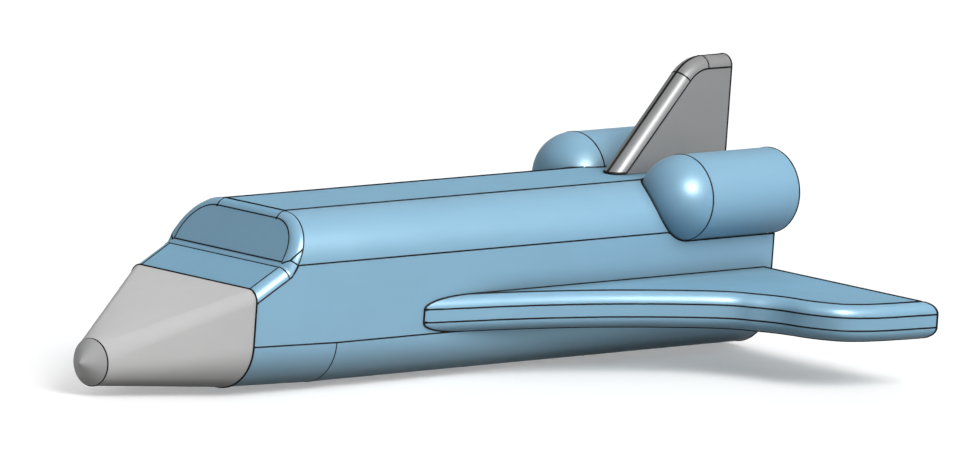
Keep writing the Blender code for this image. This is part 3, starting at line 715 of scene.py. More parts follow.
@dataclass
class PanelLines:
    """The thin dark lines inlaid along the seams and the ends of the rounds.

    Args:
        radius: Radius of a line, most of which is sunk in the skin.
        reach: How near a face must be to count as the skin under a line.
        alike: Faces whose directions agree by more than this count once.
        opposed: Directions that add up to less than this cancel out.
        roundness: How finely a line's section is rounded.
        lines: The lines that were noted so far, each with its seat.
    """

    radius: float = 0.00045
    reach: float = 0.00025
    alike: float = 0.97
    opposed: float = 0.2
    roundness: int = 5
    lines: list[tuple[Line, Seat]] = field(default_factory=list)

    def note(self, pairs: Iterable[Pair], seat: Seat = Seat.INLAID) -> None:
        """Take up loose edges of a mesh."""
        self.lines.extend((line, seat) for line in chained(pairs))

    def draw(self, *points: Sequence[float], seat: Seat = Seat.INLAID) -> None:
        """Take up one line by its points."""
        self.lines.append(([Vector(point) for point in points], seat))

    def split(self, line: Line) -> Line:
        """Add points near both ends of each long stretch, so that only its very ends bend with the corners.

        Args:
            line: The points of a line.

        Returns:
            The points with those that were added.
        """
        end = 4 * self.reach
        points = [line[0]]
        for start, stop in zip(line, line[1:]):
            length = (stop - start).length
            if length > 4 * end:
                points += [start.lerp(stop, end / length), stop.lerp(start, end / length)]
            points.append(stop)
        return points

    def skins(self) -> BVHTree:
        """Gather all finished skins, in shuttle measures.

        Returns:
            Their search tree.
        """
        back = PLACE.matrix().inverted()
        verts: Line = []
        faces: list[list[int]] = []
        for thing in DRESSED:
            first = len(verts)
            verts.extend(back @ vert.co for vert in thing.data.vertices)
            faces.extend([first + index for index in face.vertices] for face in thing.data.polygons)
        return BVHTree.FromPolygons(verts, faces)

    def outward(self, tree: BVHTree, point: Vector) -> Vector:
        """Find the way out of the skin at a point, between all faces that meet there.

        Args:
            tree: The skins.
            point: A point on or beside the skin.

        Returns:
            A direction of length one.
        """
        total = Vector((0.0, 0.0, 0.0))
        found: Line = []
        for _, normal, _, _ in sorted(tree.find_nearest_range(point, self.reach), key=lambda hit: hit[3]):
            if all(normal.dot(other) < self.alike for other in found):
                found.append(normal)
                total += normal
        if total.length < self.opposed:
            total = tree.find_nearest(point)[1]
        return total.normalized()

    def build(self) -> None:
        """Make all lines one piece of fine closed tubes, sunk into the skins."""
        tree = self.skins()
        curve = bpy.data.curves.new("panel_line_paths", "CURVE")
        curve.dimensions = "3D"
        curve.bevel_depth = self.radius
        curve.bevel_resolution = self.roundness
        curve.use_fill_caps = True
        for line, seat in self.lines:
            ring = (line[0] - line[-1]).length < HAIR and len(line) > 3
            points = line[:-1] if ring else self.split(line)
            spline = curve.splines.new("POLY")
            spline.points.add(len(points) - 1)
            spline.use_cyclic_u = ring
            for knot, point in zip(spline.points, points):
                sunk = point - self.outward(tree, point) * (self.radius * seat.thickness * seat.depth)
                knot.co = (*sunk, 1.0)
                knot.radius = seat.thickness
        paths = link_object("panel_line_paths", curve)
        mesh = evaluated(paths)
        bpy.data.objects.remove(paths, do_unlink=True)
        dress(link_object("panel_lines", mesh), LINE_INK, [])


def dress(thing: bpy.types.Object, finish: Finish, nodes: Sequence[str], body: str = BODY,
          sharp: float = 30.0, top: Finish | None = None) -> None:
    """Move a piece to its place, give it its finish and tie it to its body.

    Args:
        thing: The piece, in shuttle measures.
        finish: Its finish.
        nodes: The nodes of the frame that it replaces.
        body: The body that it rides on.
        sharp: Edges that turn by more degrees than this stay crisp.
        top: The finish of its flat top faces, if they have another one, such as the satin blue painted darker as
            shade.
    """
    mesh = thing.data
    mesh.transform(PLACE.matrix())
    mesh.materials.clear()
    mesh.materials.append(finish.material())
    slots = [0] * len(mesh.polygons)
    if top:
        mesh.materials.append(top.material())
        slots = [int(face.normal.z > UPWARD and abs(face.normal.y) < STRAIGHT) for face in mesh.polygons]
    mesh.polygons.foreach_set("material_index", slots)
    mesh.shade_smooth()
    mesh.set_sharp_from_angle(angle=math.radians(sharp))
    weighted = thing.modifiers.new("even_shading", "WEIGHTED_NORMAL")
    weighted.keep_sharp = True
    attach(thing, body)
    if nodes:
        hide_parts(*nodes)
    DRESSED.append(thing)
    LOG.info("%s: %d faces on %s", thing.name, len(mesh.polygons), body)


# The shuttle

@dataclass
class Fuselage:
    """Upper fuselage with its cockpit step, the two belly pieces, the roof panel and the windscreen."""

    half_width: float = 0.0292
    height: float = 0.0580
    shoulder: float = 0.0154
    chine: float = 0.0155
    length: float = 0.24825
    kink_x: float = 0.2091
    rise: float = 0.0009
    cowl_front_z: float = 0.0353
    foot_x: float = 0.2344
    foot_z: float = 0.0423
    head_x: float = 0.2247
    fillet: float = 0.0039
    roof_thickness: float = 0.0018
    roof_ease: float = 0.00012
    screen_thickness: float = 0.0014
    screen_inset: float = 0.0001
    screen_ease: float = 0.00015
    saddle_floor: float = 0.03
    brow_reach: float = 0.0006
    corner_reach: float = 3e-4
    sweep_before: float = 0.0047
    sweep_after: float = 0.0022
    sweep_steps: int = 12
    laid_steps: int = 10
    corner_steps: int = 18
    chine_steps: int = 24
    fillet_steps: int = 10

    @property
    def roof_half(self) -> float:
        """Half the width of the flat roof."""
        return self.half_width - self.shoulder

    @property
    def foot(self) -> Vector:
        """The foot of the windscreen, without its round, for y = 0."""
        return Vector((self.foot_x, 0.0, self.foot_z))

    @property
    def screen_slope(self) -> float:
        """Angle of the windscreen above the horizontal."""
        return math.atan2(self.height - self.foot_z, self.foot_x - self.head_x)

    @property
    def cowl_slope(self) -> float:
        """Angle of the cowl above the horizontal."""
        return math.atan2(self.foot_z - self.cowl_front_z, self.length - self.foot_x)

    @property
    def roof_front(self) -> float:
        """Where the flat roof ends and the brow's round starts."""
        return self.head_x - self.fillet * math.tan(self.screen_slope / 2)

    def screen_normal(self) -> Vector:
        """The way the windscreen faces."""
        return Vector((math.sin(self.screen_slope), 0.0, math.cos(self.screen_slope)))

    def cowl_normal(self) -> Vector:
        """The way the cowl faces."""
        return Vector((math.sin(self.cowl_slope), 0.0, math.cos(self.cowl_slope)))

    def side_corner(self) -> Vector:
        """Where the ends of the windscreen's and the cowl's rounds meet on the flat side, for y = 0."""
        screen, cowl = self.screen_normal(), self.cowl_normal()
        return self.foot - (screen + cowl) * (self.fillet / (1.0 + screen.dot(cowl)))

    def chine_arc(self) -> Outline:
        """The port round of the belly from the side to the flat, as y and z."""
        return arc((self.half_width - self.chine, self.chine), self.chine, 0.0, -QUARTER, self.chine_steps)

    def barrel(self) -> bpy.types.Object:
        """Make the rounded bar that the hull is cut from.

        Returns:
            The bar.
        """
        half = self.half_width
        bm = box((0.0, -half, 0.0), (self.length, half, self.height))
        for level, radius in ((self.height, self.shoulder), (0.0, self.chine)):
            round_edges(bm, lambda first, second: abs(first.x - second.x) > REACH
                        and abs(abs(first.y) - half) < HAIR and abs(first.z - level) < HAIR,
                        radius, self.corner_steps)
        bisect(bm, (self.kink_x, 0.0, 0.0), (1.0, 0.0, 0.0), False)
        for vert in bm.verts:
            if vert.co.x > self.length - HAIR and vert.co.z < self.chine + HAIR:
                vert.co.z += self.rise
        return solid("hull", bm)

    def below_seam(self, start: float, end: float, lift: float) -> bpy.types.Object:
        """Make a block from under the fuselage up to the belly seam, which rises ahead of the kink.

        Args:
            start: Its rear end.
            end: Its front end.
            lift: How far over the seam it reaches.

        Returns:
            The block.
        """
        slope = self.rise / (self.length - self.kink_x)
        stations = [end, self.kink_x, start] if start < self.kink_x < end else [end, start]
        profile = [(start, -REACH), (end, -REACH)]
        profile += [(x, self.chine + lift + slope * max(0.0, x - self.kink_x)) for x in stations]
        return solid("below_seam", slab(profile, self.half_width + REACH), Mark.CUT)

    def cockpit_cutter(self) -> bpy.types.Object:
        """Make the space above the cowl and ahead of the windscreen.

        Returns:
            The space as a solid.
        """
        ahead, above = self.length + REACH, self.height + REACH
        profile = [(ahead, self.cowl_front_z - REACH * math.tan(self.cowl_slope)), (self.foot_x, self.foot_z),
                   (self.head_x - REACH / math.tan(self.screen_slope), above), (ahead, above)]
        return solid("cockpit_cutter", slab(profile, self.half_width + REACH))

    def filleted(self, hull: bpy.types.Object) -> None:
        """Round the edges of the windscreen and cowl with one radius, whatever their angle.

        Args:
            hull: The hull, already cut to the cockpit's step.
        """
        forward = Vector((1.0, 0.0, 0.0))
        planes = (self.screen_normal(), self.cowl_normal())
        bm = bmesh.new()
        bm.from_mesh(hull.data)
        weight = bm.edges.layers.float.new("bevel_weight_edge")
        for edge in bm.edges:
            if len(edge.link_faces) != 2:
                continue
            normals = [face.normal for face in edge.link_faces]
            sloped = any(normal.dot(plane) > 0.9999 for normal in normals for plane in planes)
            at_nose = any(normal.dot(forward) > 0.999 for normal in normals)
            angle = normals[0].angle(normals[1])
            if sloped and not at_nose and angle > 0.05:
                edge[weight] = math.tan(angle / 2)
        for face in bm.faces:
            face.material_index = Mark.SKIN.value
        bm.to_mesh(hull.data)
        bm.free()
        bevel = hull.modifiers.new("fillets", "BEVEL")
        bevel.limit_method = "WEIGHT"
        bevel.offset_type = "OFFSET"
        bevel.width = self.fillet
        bevel.segments = self.fillet_steps
        bevel.profile = 0.5
        bevel.use_clamp_overlap = False
        bevel.material = Mark.ROUNDED.value
        bake(hull)

    def screen_outline(self, hull: bpy.types.Object, inset: float) -> Line:
        """Find the outline of the windscreen's flat.

        Args:
            hull: The finished hull.
            inset: How far the outline is drawn in.

        Returns:
            Its points.
        """
        bm = bmesh.new()
        bm.from_mesh(hull.data)
        others = [face for face in bm.faces if face.normal.dot(self.screen_normal()) < 0.9999]
        bmesh.ops.delete(bm, geom=others, context="FACES")
        bmesh.ops.dissolve_faces(bm, faces=bm.faces)
        bmesh.ops.inset_region(bm, faces=bm.faces, thickness=inset, use_boundary=True, use_even_offset=True)
        inner = max(bm.faces, key=lambda face: face.calc_area())
        points = [vert.co.copy() for vert in inner.verts]
        bm.free()
        return points

    def part_of(self, hull: bpy.types.Object, name: str, block: Spot, operation: str) -> bpy.types.Object:
        """Copy what of the hull lies in or out of a block below the seam."""
        return combine(link_object(name, hull.data.copy()), self.below_seam(*block), operation)

    def build(self, lines: PanelLines, pods: "Pods", running: "RunningGear", tail: "Tail") -> None:
        """Build and dress the fuselage's five pieces.

        Args:
            lines: Takes up the seams.
            pods: Gives the saddles.
            running: Gives the wells.
            tail: Gives the recess of its plate.
        """
        hull = combine(self.barrel(), self.cockpit_cutter(), "DIFFERENCE")
        self.filleted(hull)
        self.note_rounds(hull, lines)

        front = self.length + REACH
        rear_belly = self.part_of(hull, "belly_rear_skin", (-REACH, self.kink_x - MID, -MID), "INTERSECT")
        front_belly = self.part_of(hull, "belly_front_skin", (self.kink_x + MID, front, -MID), "INTERSECT")
        running.cut_wells(rear_belly, front_belly)

        normal = self.screen_normal()
        opening, ring, rim = (self.screen_outline(hull, self.screen_inset + more) for more in (0.0, MID, GAP))
        lines.draw(*ring, ring[0], seat=Seat.GROOVE)
        panel = prism(rim, -normal * self.screen_thickness)
        level = ring[0].dot(normal) - SPECK
        round_edges(panel, lambda *ends: all(end.dot(normal) > level for end in ends), self.screen_ease)
        screen = solid("windscreen_panel", panel)

        upper = self.part_of(hull, "fuselage_skin", (-REACH, front, MID), "DIFFERENCE")
        carve(upper, prism([point + normal * REACH for point in opening],
                           -normal * (REACH + self.screen_thickness + GAP)))
        floor, end, half = self.height - self.roof_thickness, self.roof_front, self.roof_half
        carve(upper, box((-REACH, -half, floor), (end, half, self.height + REACH)))
        panel = box((0.0, GAP - half, floor + GAP), (end - GAP, half - GAP, self.height))
        round_edges(panel, lambda *ends: all(end.z > self.height - HAIR for end in ends), self.roof_ease)
        roof = solid("roof_skin", panel)
        for side in Side:
            for host in (upper, roof):
                carve(host, pods.saddle(side))
        for host in (upper, rear_belly):
            carve(host, tail.recess())
        bpy.data.objects.remove(hull, do_unlink=True)

        lines.note(self.saddle_edges(upper, False), Seat.GROOVE)
        lines.note(self.saddle_edges(roof, True), Seat.CORNER)
        self.draw_lines(lines, pods)
        dress(upper, SKY_BLUE, ["fuselage_upper"], top=SATIN_SHADED_BLUE)
        dress(roof, SATIN_SHADED_BLUE, ["roof_panel"])
        dress(rear_belly, SKY_BLUE, ["belly_rear"])
        dress(front_belly, SKY_BLUE, ["belly_front"])
        dress(screen, SCREEN_BLUE, ["windscreen"])

    def note_rounds(self, hull: bpy.types.Object, lines: PanelLines) -> None:
        """Note the lines where the cockpit's rounds end and where they change.

        Args:
            hull: The finished hull.
            lines: Takes up the lines.
        """
        corner, foot, screen = self.side_corner(), self.foot, self.screen_normal()
        kept = []
        for pair in borders(hull, Mark.ROUNDED):
            at_nose = min(point.x for point in pair) > self.length - SPECK
            at_roof = min(point.z for point in pair) > self.height - SPECK
            on_screen = all(abs((point - foot).dot(screen)) < SPECK for point in pair)
            flat = [Vector((point.x, 0.0, point.z)) for point in pair]
            at_corner = any((point - corner).length < self.corner_reach for point in flat)
            if not (at_nose or at_roof or on_screen or at_corner):
                kept.append(pair)
        lines.note(kept)

        tree = BVHTree.FromObject(hull, bpy.context.evaluated_depsgraph_get())
        slide = math.tan(self.screen_slope / 2) * self.fillet + self.brow_reach
        brow_x = self.head_x + slide * math.cos(self.screen_slope)
        brow_z = self.height - slide * math.sin(self.screen_slope)
        # The sweep of the round's end past the foot of the windscreen, and the arcs across the rounds there
        start = Vector((self.foot_x - self.sweep_before, 0.0, self.height - self.shoulder))
        along = Vector((math.cos(self.cowl_slope), 0.0, -math.sin(self.cowl_slope)))
        stop = corner + along * self.sweep_after
        nose_end = corner + along * ((self.length - corner.x) / along.x)
        shares = [step / self.sweep_steps for step in range(self.sweep_steps + 1)]
        for side in Side:
            out = Vector((0.0, side.value * self.half_width, 0.0))
            sweep = [start.lerp(corner, t).lerp(corner.lerp(stop, t), t) + out for t in shares]
            lines.draw(*sweep, nose_end + out)
            y = side.value * self.roof_half
            lines.draw(*self.laid(tree, (self.roof_front, y, self.height), (brow_x, y, brow_z)))
            for ends in self.corner_lines():
                lines.draw(*self.laid(tree, *((x, side.value * y, z) for x, y, z in ends)))

    def corner_lines(self) -> list[tuple[Spot, Spot]]:
        """List the arcs that cross the rounds beside the foot of the windscreen, on the port side.

        Returns:
            The two ends of each arc.
        """
        screen, middle, brow = (0.2341, 0.0253, 0.0429), (0.2324, 0.0277, 0.0442), (0.2274, 0.0283, 0.0479)
        shoulder, cowl, side = (0.2298, 0.0292, 0.0424), (0.2352, 0.0253, 0.0419), (0.2337, 0.0292, 0.0384)
        return [(screen, middle), (middle, brow), (middle, shoulder), (cowl, side)]

    def laid(self, tree: BVHTree, start: Spot, end: Spot) -> Line:
        """Lay a line on the hull.

        Args:
            tree: The hull.
            start: Its first point.
            end: Its last point.

        Returns:
            Points on the hull along the line.
        """
        shares = (step / self.laid_steps for step in range(self.laid_steps + 1))
        return [tree.find_nearest(Vector(start).lerp(Vector(end), share))[0] for share in shares]

    def saddle_edges(self, host: bpy.types.Object, on_roof: bool) -> list[Pair]:
        """List the edges where the pods' saddles meet the skin.

        Args:
            host: The piece that the saddles cut.
            on_roof: Whether it is the roof, where only edges on its top count.

        Returns:
            The ends of each edge.
        """
        found = []
        for first, second in borders(host, Mark.CUT):
            low, ahead = min(first.z, second.z), max(first.x, second.x)
            wide = max(abs(first.y), abs(second.y)) > self.roof_half + SPECK
            outside = low > self.height - SPECK if on_roof else wide and low > self.saddle_floor
            if outside and SPECK < ahead < self.roof_front - REACH:
                found.append((first, second))
        return found

    def draw_lines(self, lines: PanelLines, pods: "Pods") -> None:
        """Note the straight seams, the shoulder lines and the rim of the rear end.

        Args:
            lines: Takes up the lines.
            pods: Gives where the pods cover them.
        """
        half, roof, top, edge = self.half_width, self.roof_half, self.height, self.roof_front - MID
        shoulder_z = top - self.shoulder
        for side in Side:
            sign = side.value
            lines.draw((pods.front_of(half, shoulder_z), sign * half, shoulder_z),
                       (self.foot_x - self.fillet, sign * half, shoulder_z))
            lines.draw((pods.front_of(roof, top), sign * (roof - MID), top), (edge, sign * (roof - MID), top),
                       seat=Seat.RIDGE)
            lines.draw((0.0, sign * half, self.chine), (self.kink_x, sign * half, self.chine),
                       (self.length, sign * half, self.chine + self.rise))
        lines.draw((edge, -roof, top), (edge, roof, top), seat=Seat.RIDGE)

        radius = pods.radius + GAP
        rim = [(half, pods.z - math.sqrt(radius ** 2 - (half - pods.y) ** 2)), *self.chine_arc()]
        lines.draw(*at_x(0.0, rim + mirrored(rim)))
        roof_y = pods.y - math.sqrt(radius ** 2 - (top - pods.z) ** 2)
        lines.draw((0.0, -roof_y, top), (0.0, roof_y, top))
        lines.draw(*at_x(self.kink_x, self.chine_arc() + mirrored(self.chine_arc())))


@dataclass
class Pods:
    """Two engine pods, each a barrel with a half-round dome."""

    y: float = 0.0251
    z: float = 0.0534
    radius: float = 0.01443
    barrel: float = 0.04265
    lip: float = 0.0004
    lip_steps: int = 3
    steps: int = 120
    dome_steps: int = 30
    ring_steps: int = 72

    def dome(self, radius: float) -> Outline:
        """Side of a dome, from its widest ring to its top."""
        points = arc((self.barrel, 0.0), radius, QUARTER, 0.0, self.dome_steps)
        return [(along, max(out, 0.0)) for along, out in points]

    def saddle(self, side: Side) -> bmesh.types.BMesh:
        """Make the space that a pod takes from the fuselage.

        Args:
            side: Port or starboard.

        Returns:
            The space as a solid.
        """
        radius = self.radius + GAP
        profile = [(-REACH, 0.0), (-REACH, radius), *self.dome(radius)]
        return placed(turned(profile, self.steps), (0.0, side.value * self.y, self.z))

    def front_of(self, y: float, z: float) -> float:
        """Find how far forward a pod covers a line that runs along the fuselage.

        Args:
            y: The line's distance to port.
            z: Its height.

        Returns:
            Where it comes out, as distance from the tail.
        """
        across = math.hypot(y - self.y, z - self.z)
        radius = self.radius + GAP
        return self.barrel + math.sqrt(max(0.0, radius * radius - across * across))

    def build(self, lines: PanelLines) -> None:
        """Build and dress the barrels and the domes.

        Args:
            lines: Takes up their rings.
        """
        end, start, lip, inner = self.barrel - MID, self.barrel + MID, self.lip, self.radius - self.lip
        barrel_outline = [(0.0, 0.0), (0.0, inner), *arc((lip, inner), lip, math.pi, QUARTER, self.lip_steps),
                          (end, self.radius), (end, 0.0)]
        dome_outline = [(start, 0.0)] + [(max(along, start), out) for along, out in self.dome(self.radius)]
        for side in Side:
            place = Vector((0.0, side.value * self.y, self.z))
            barrel = placed(turned(barrel_outline, self.steps), place)
            dome = placed(turned(dome_outline, self.steps), place)
            dress(solid("pod_barrel_" + side.word, barrel), SKY_BLUE, ["pod_" + side.word])
            dress(solid("pod_nose_" + side.word, dome), SKY_BLUE, ["pod_dome_" + side.word])
            for x, radius, seat in ((self.barrel, self.radius, Seat.ROUND),
                                    (lip / 3, self.radius - lip / 3, Seat.CORNER)):
                circle = at_x(x, arc((0.0, 0.0), radius, 0.0, 4 * QUARTER, self.ring_steps))
                lines.draw(*(place + Vector(spot) for spot in circle), seat=seat)


@dataclass
class Nose:
    """Nose cone, lofted from the cowl's section to a circle, and its blunt tip."""

    end_x: float = 0.2944
    end_z: float = 0.0098
    end_radius: float = 0.00783
    tip_length: float = 0.0054
    tip_round: float = 0.0009
    turn_share: float = 0.5
    rings: int = 16
    round_steps: int = 16
    flat_steps: int = 12
    tip_steps: int = 8
    tip_facets: int = 96
    ring_steps: int = 64

    def sections(self, hull: Fuselage) -> tuple[Outline, Outline]:
        """Work out the cone's rear section and its front circle, point for point.

        Args:
            hull: The fuselage that it joins.

        Returns:
            The two outlines.
        """
        half, chine = hull.half_width, hull.chine
        drop = hull.fillet / math.cos(hull.cowl_slope)
        corner = [(half - hull.fillet + y, hull.cowl_front_z - drop + drop * z / hull.fillet)
                  for y, z in arc((0.0, 0.0), hull.fillet, 0.0, QUARTER, self.round_steps)]
        low = arc((half - chine, chine + hull.rise), chine, -QUARTER, 0.0, self.round_steps)
        bottom = spread((0.0, hull.rise), low[0], self.flat_steps)
        side = spread(low[-1], corner[0], self.flat_steps)
        top = spread(corner[-1], (0.0, hull.cowl_front_z), self.flat_steps)
        port = bottom + low[1:] + side[1:] + corner[1:] + top[1:]

        # The rounds take more of the circle than their length alone would give them
        quarters = [0.5 * step / self.round_steps for step in range(1, self.round_steps + 1)]
        turns = [0.0] * len(bottom) + quarters + [0.5] * (len(side) - 1)
        turns += [0.5 + share for share in quarters] + [1.0] * (len(top) - 1)
        lengths = [0.0]
        for (y0, z0), (y1, z1) in zip(port, port[1:]):
            lengths.append(lengths[-1] + math.hypot(y1 - y0, z1 - z0))
        circle = []
        for length, turn in zip(lengths, turns):
            share = self.turn_share * turn + (1.0 - self.turn_share) * length / lengths[-1]
            angle = math.pi * share - QUARTER
            circle.append((self.end_radius * math.cos(angle), self.end_z + self.end_radius * math.sin(angle)))
        return port + mirrored(port[1:-1]), circle + mirrored(circle[1:-1])

    def cone(self, start_x: float, rear: Outline, front: Outline) -> bmesh.types.BMesh:
        """Loft the cone in rings.

        Args:
            start_x: Where its rear end stands.
            rear: Its rear section.
            front: Its front section, point for point.

        Returns:
            The closed solid.
        """
        bm = bmesh.new()
        verts = [bm.verts.new(spot) for spot in at_x(start_x, rear)]
        ring = [bm.edges.new((vert, verts[(index + 1) % len(verts)])) for index, vert in enumerate(verts)]
        bmesh.ops.contextual_create(bm, geom=ring)
        order = {vert: index for index, vert in enumerate(verts)}
        for step in range(1, self.rings + 1):
            share = step / self.rings
            result = bmesh.ops.extrude_edge_only(bm, edges=ring)["geom"]
            fresh = {}
            for vert in (item for item in result if isinstance(item, bmesh.types.BMVert)):
                others = (edge.other_vert(vert) for edge in vert.link_edges)
                index = next(order[other] for other in others if other in order)
                y, z = (old + (new - old) * share for old, new in zip(rear[index], front[index]))
                vert.co = (start_x + (self.end_x - start_x) * share, y, z)
                fresh[vert] = index
            order = fresh
            ring = [item for item in result if isinstance(item, bmesh.types.BMEdge)
                    and all(vert in order for vert in item.verts)]
        bmesh.ops.contextual_create(bm, geom=ring)
        bmesh.ops.recalc_face_normals(bm, faces=bm.faces)
        return bm

    def build(self, hull: Fuselage, lines: PanelLines) -> None:
        """Build and dress the cone and its tip.

        Args:
            hull: The fuselage that the cone joins.
            lines: Takes up the two joints.
        """
        rear, front = self.sections(hull)
        cone = self.cone(hull.length + GAP, rear, front)
        dress(solid("nose_skin", cone), NOSE_GREY, ["nose_cone"])

        run = self.tip_length - GAP
        slope = math.atan2(self.end_radius, run)
        blunt = arc((run - self.tip_round, 0.0), self.tip_round, QUARTER - slope, 0.0, self.tip_steps)
        profile = [(0.0, 0.0), (0.0, self.end_radius), *((along, max(out, 0.0)) for along, out in blunt)]
        tip = placed(turned(profile, self.tip_facets), (self.end_x + GAP, 0.0, self.end_z))
        dress(solid("nose_tip_skin", tip), TIP_GREY, ["nose_tip"], sharp=40.0)

        lines.draw(*at_x(hull.length + MID, rear + rear[:1]), seat=Seat.RIDGE)
        circle = arc((0.0, self.end_z), self.end_radius, 0.0, 4 * QUARTER, self.ring_steps)
        lines.draw(*at_x(self.end_x + MID, circle))


@dataclass
class Wings:
    """Two slab wings with rounded edges."""

    top_z: float = 0.02775
    bottom_z: float = 0.01555
    fillet: float = 0.0039
    trailing_x: float = 0.0004
    tip_y: float = 0.1064
    corner_share: float = 1.2
    steps: int = 8
    fillet_steps: int = 10

    def stations(self) -> Outline:
        """List points that the outer edge passes through.

        Returns:
            The points, as distance from the tail and from the centre.
        """
        return [
            (0.2080, 0.0211), (0.1670, 0.0298), (0.1263, 0.0375), (0.0918, 0.0477), (0.0613, 0.0621),
            (0.0525, 0.0714), (0.0482, 0.0785), (0.0452, 0.0885), (0.0393, 0.0976), (0.0309, 0.1022),
            (0.0201, 0.1045), (self.trailing_x, self.tip_y),
        ]

    def edge(self) -> Line:
        """Draw the outer edge as a smooth curve through its stations.

        Returns:
            Its points.
        """
        table = [Vector(point) for point in self.stations()]
        line = [table[0] * 2 - table[1]] + table + [table[-1] * 2 - table[-2]]
        points = []
        for before, start, end, after in zip(line, line[1:], line[2:], line[3:]):
            leaving = (end - before) / 2
            arriving = (after - start) / 2
            for t in (step / self.steps for step in range(self.steps)):
                points.append(start * (2 * t ** 3 - 3 * t ** 2 + 1) + leaving * (t ** 3 - 2 * t ** 2 + t)
                              + end * (3 * t ** 2 - 2 * t ** 3) + arriving * (t ** 3 - t ** 2))
        # The rear corner's round needs a stretch without points that is longer than itself
        clear = self.corner_share * self.fillet
        return [point for point in points if (point - table[-1]).length > clear] + table[-1:]

    def build(self, hull: Fuselage, lines: PanelLines) -> None:
        """Build and dress both wings.

        Args:
            hull: The fuselage that they join.
            lines: Takes up the ends of the rounds and the root.
        """
        for side in Side:
            self.build_side(side, hull, lines)

    def build_side(self, side: Side, hull: Fuselage, lines: PanelLines) -> None:
        """Build and dress one wing.

        Args:
            side: Port or starboard.
            hull: The fuselage that it joins.
            lines: Takes up the ends of the rounds and the root.
        """
        sign = side.value
        inner = self.stations()[0][1]
        root = sign * (hull.half_width + GAP)
        outline = [(point.x, sign * point.y, self.bottom_z) for point in self.edge()]
        outline.append((self.trailing_x, sign * inner, self.bottom_z))
        bm = prism(outline, (0.0, 0.0, self.top_z - self.bottom_z))
        rounds = round_edges(bm, lambda first, second: abs(first.z - second.z) < HAIR
                             and max(abs(first.y), abs(second.y)) >= inner + HAIR,
                             self.fillet, self.fillet_steps)
        for face in rounds:
            face.material_index = Mark.ROUNDED.value
        bmesh.ops.remove_doubles(bm, verts=bm.verts, dist=2 * HAIR)
        bisect(bm, (0.0, root, 0.0), (0.0, -sign, 0.0), True)
        bmesh.ops.holes_fill(bm, edges=[edge for edge in bm.edges if edge.is_boundary])
        bmesh.ops.recalc_face_normals(bm, faces=bm.faces)
        wing = solid("wing_skin_" + side.word, bm)

        flat, band, faces_z = [], [], (self.top_z, self.bottom_z)
        for pair in borders(wing, Mark.ROUNDED):
            if not all(abs(point.y - root) < SPECK for point in pair):
                level = all(min(abs(point.z - z) for z in faces_z) < SPECK for point in pair)
                (flat if level else band).append(pair)
        lines.note(flat, Seat.RIDGE)
        lines.note(band)
        corner = min((point for pair in flat for point in pair), key=lambda point: point.x - abs(point.y))
        lines.draw(*self.tip_corner(sign, corner), seat=Seat.CORNER)
        at_root = ends_where(wing, lambda *ends: all(abs(point.y - root) < SPECK for point in ends),
                             (0.0, -sign * MID, 0.0))
        lines.note(at_root, Seat.RIDGE)
        dress(wing, SKY_BLUE, ["wing_" + side.word], top=SATIN_SHADED_BLUE)

    def tip_corner(self, sign: int, flat_corner: Vector) -> Line:
        """Draw the sharp edge where the tip's round meets the trailing edge's, from the top to the underside.

        Args:
            sign: The sign of the side.
            flat_corner: Where it starts, at the corner of the flat top or underside.

        Returns:
            Points along it.
        """
        tip = Vector((self.trailing_x, sign * self.tip_y, 0.0))
        start = Vector((flat_corner.x, flat_corner.y, 0.0))
        turns = [QUARTER * step / self.fillet_steps for step in range(self.fillet_steps + 1)]
        down = [(start.lerp(tip, math.sin(turn)), self.fillet * (1 - math.cos(turn))) for turn in turns]
        upper = [spot + Vector((0.0, 0.0, self.top_z - drop)) for spot, drop in down]
        return upper + [spot + Vector((0.0, 0.0, self.bottom_z + drop)) for spot, drop in reversed(down)]


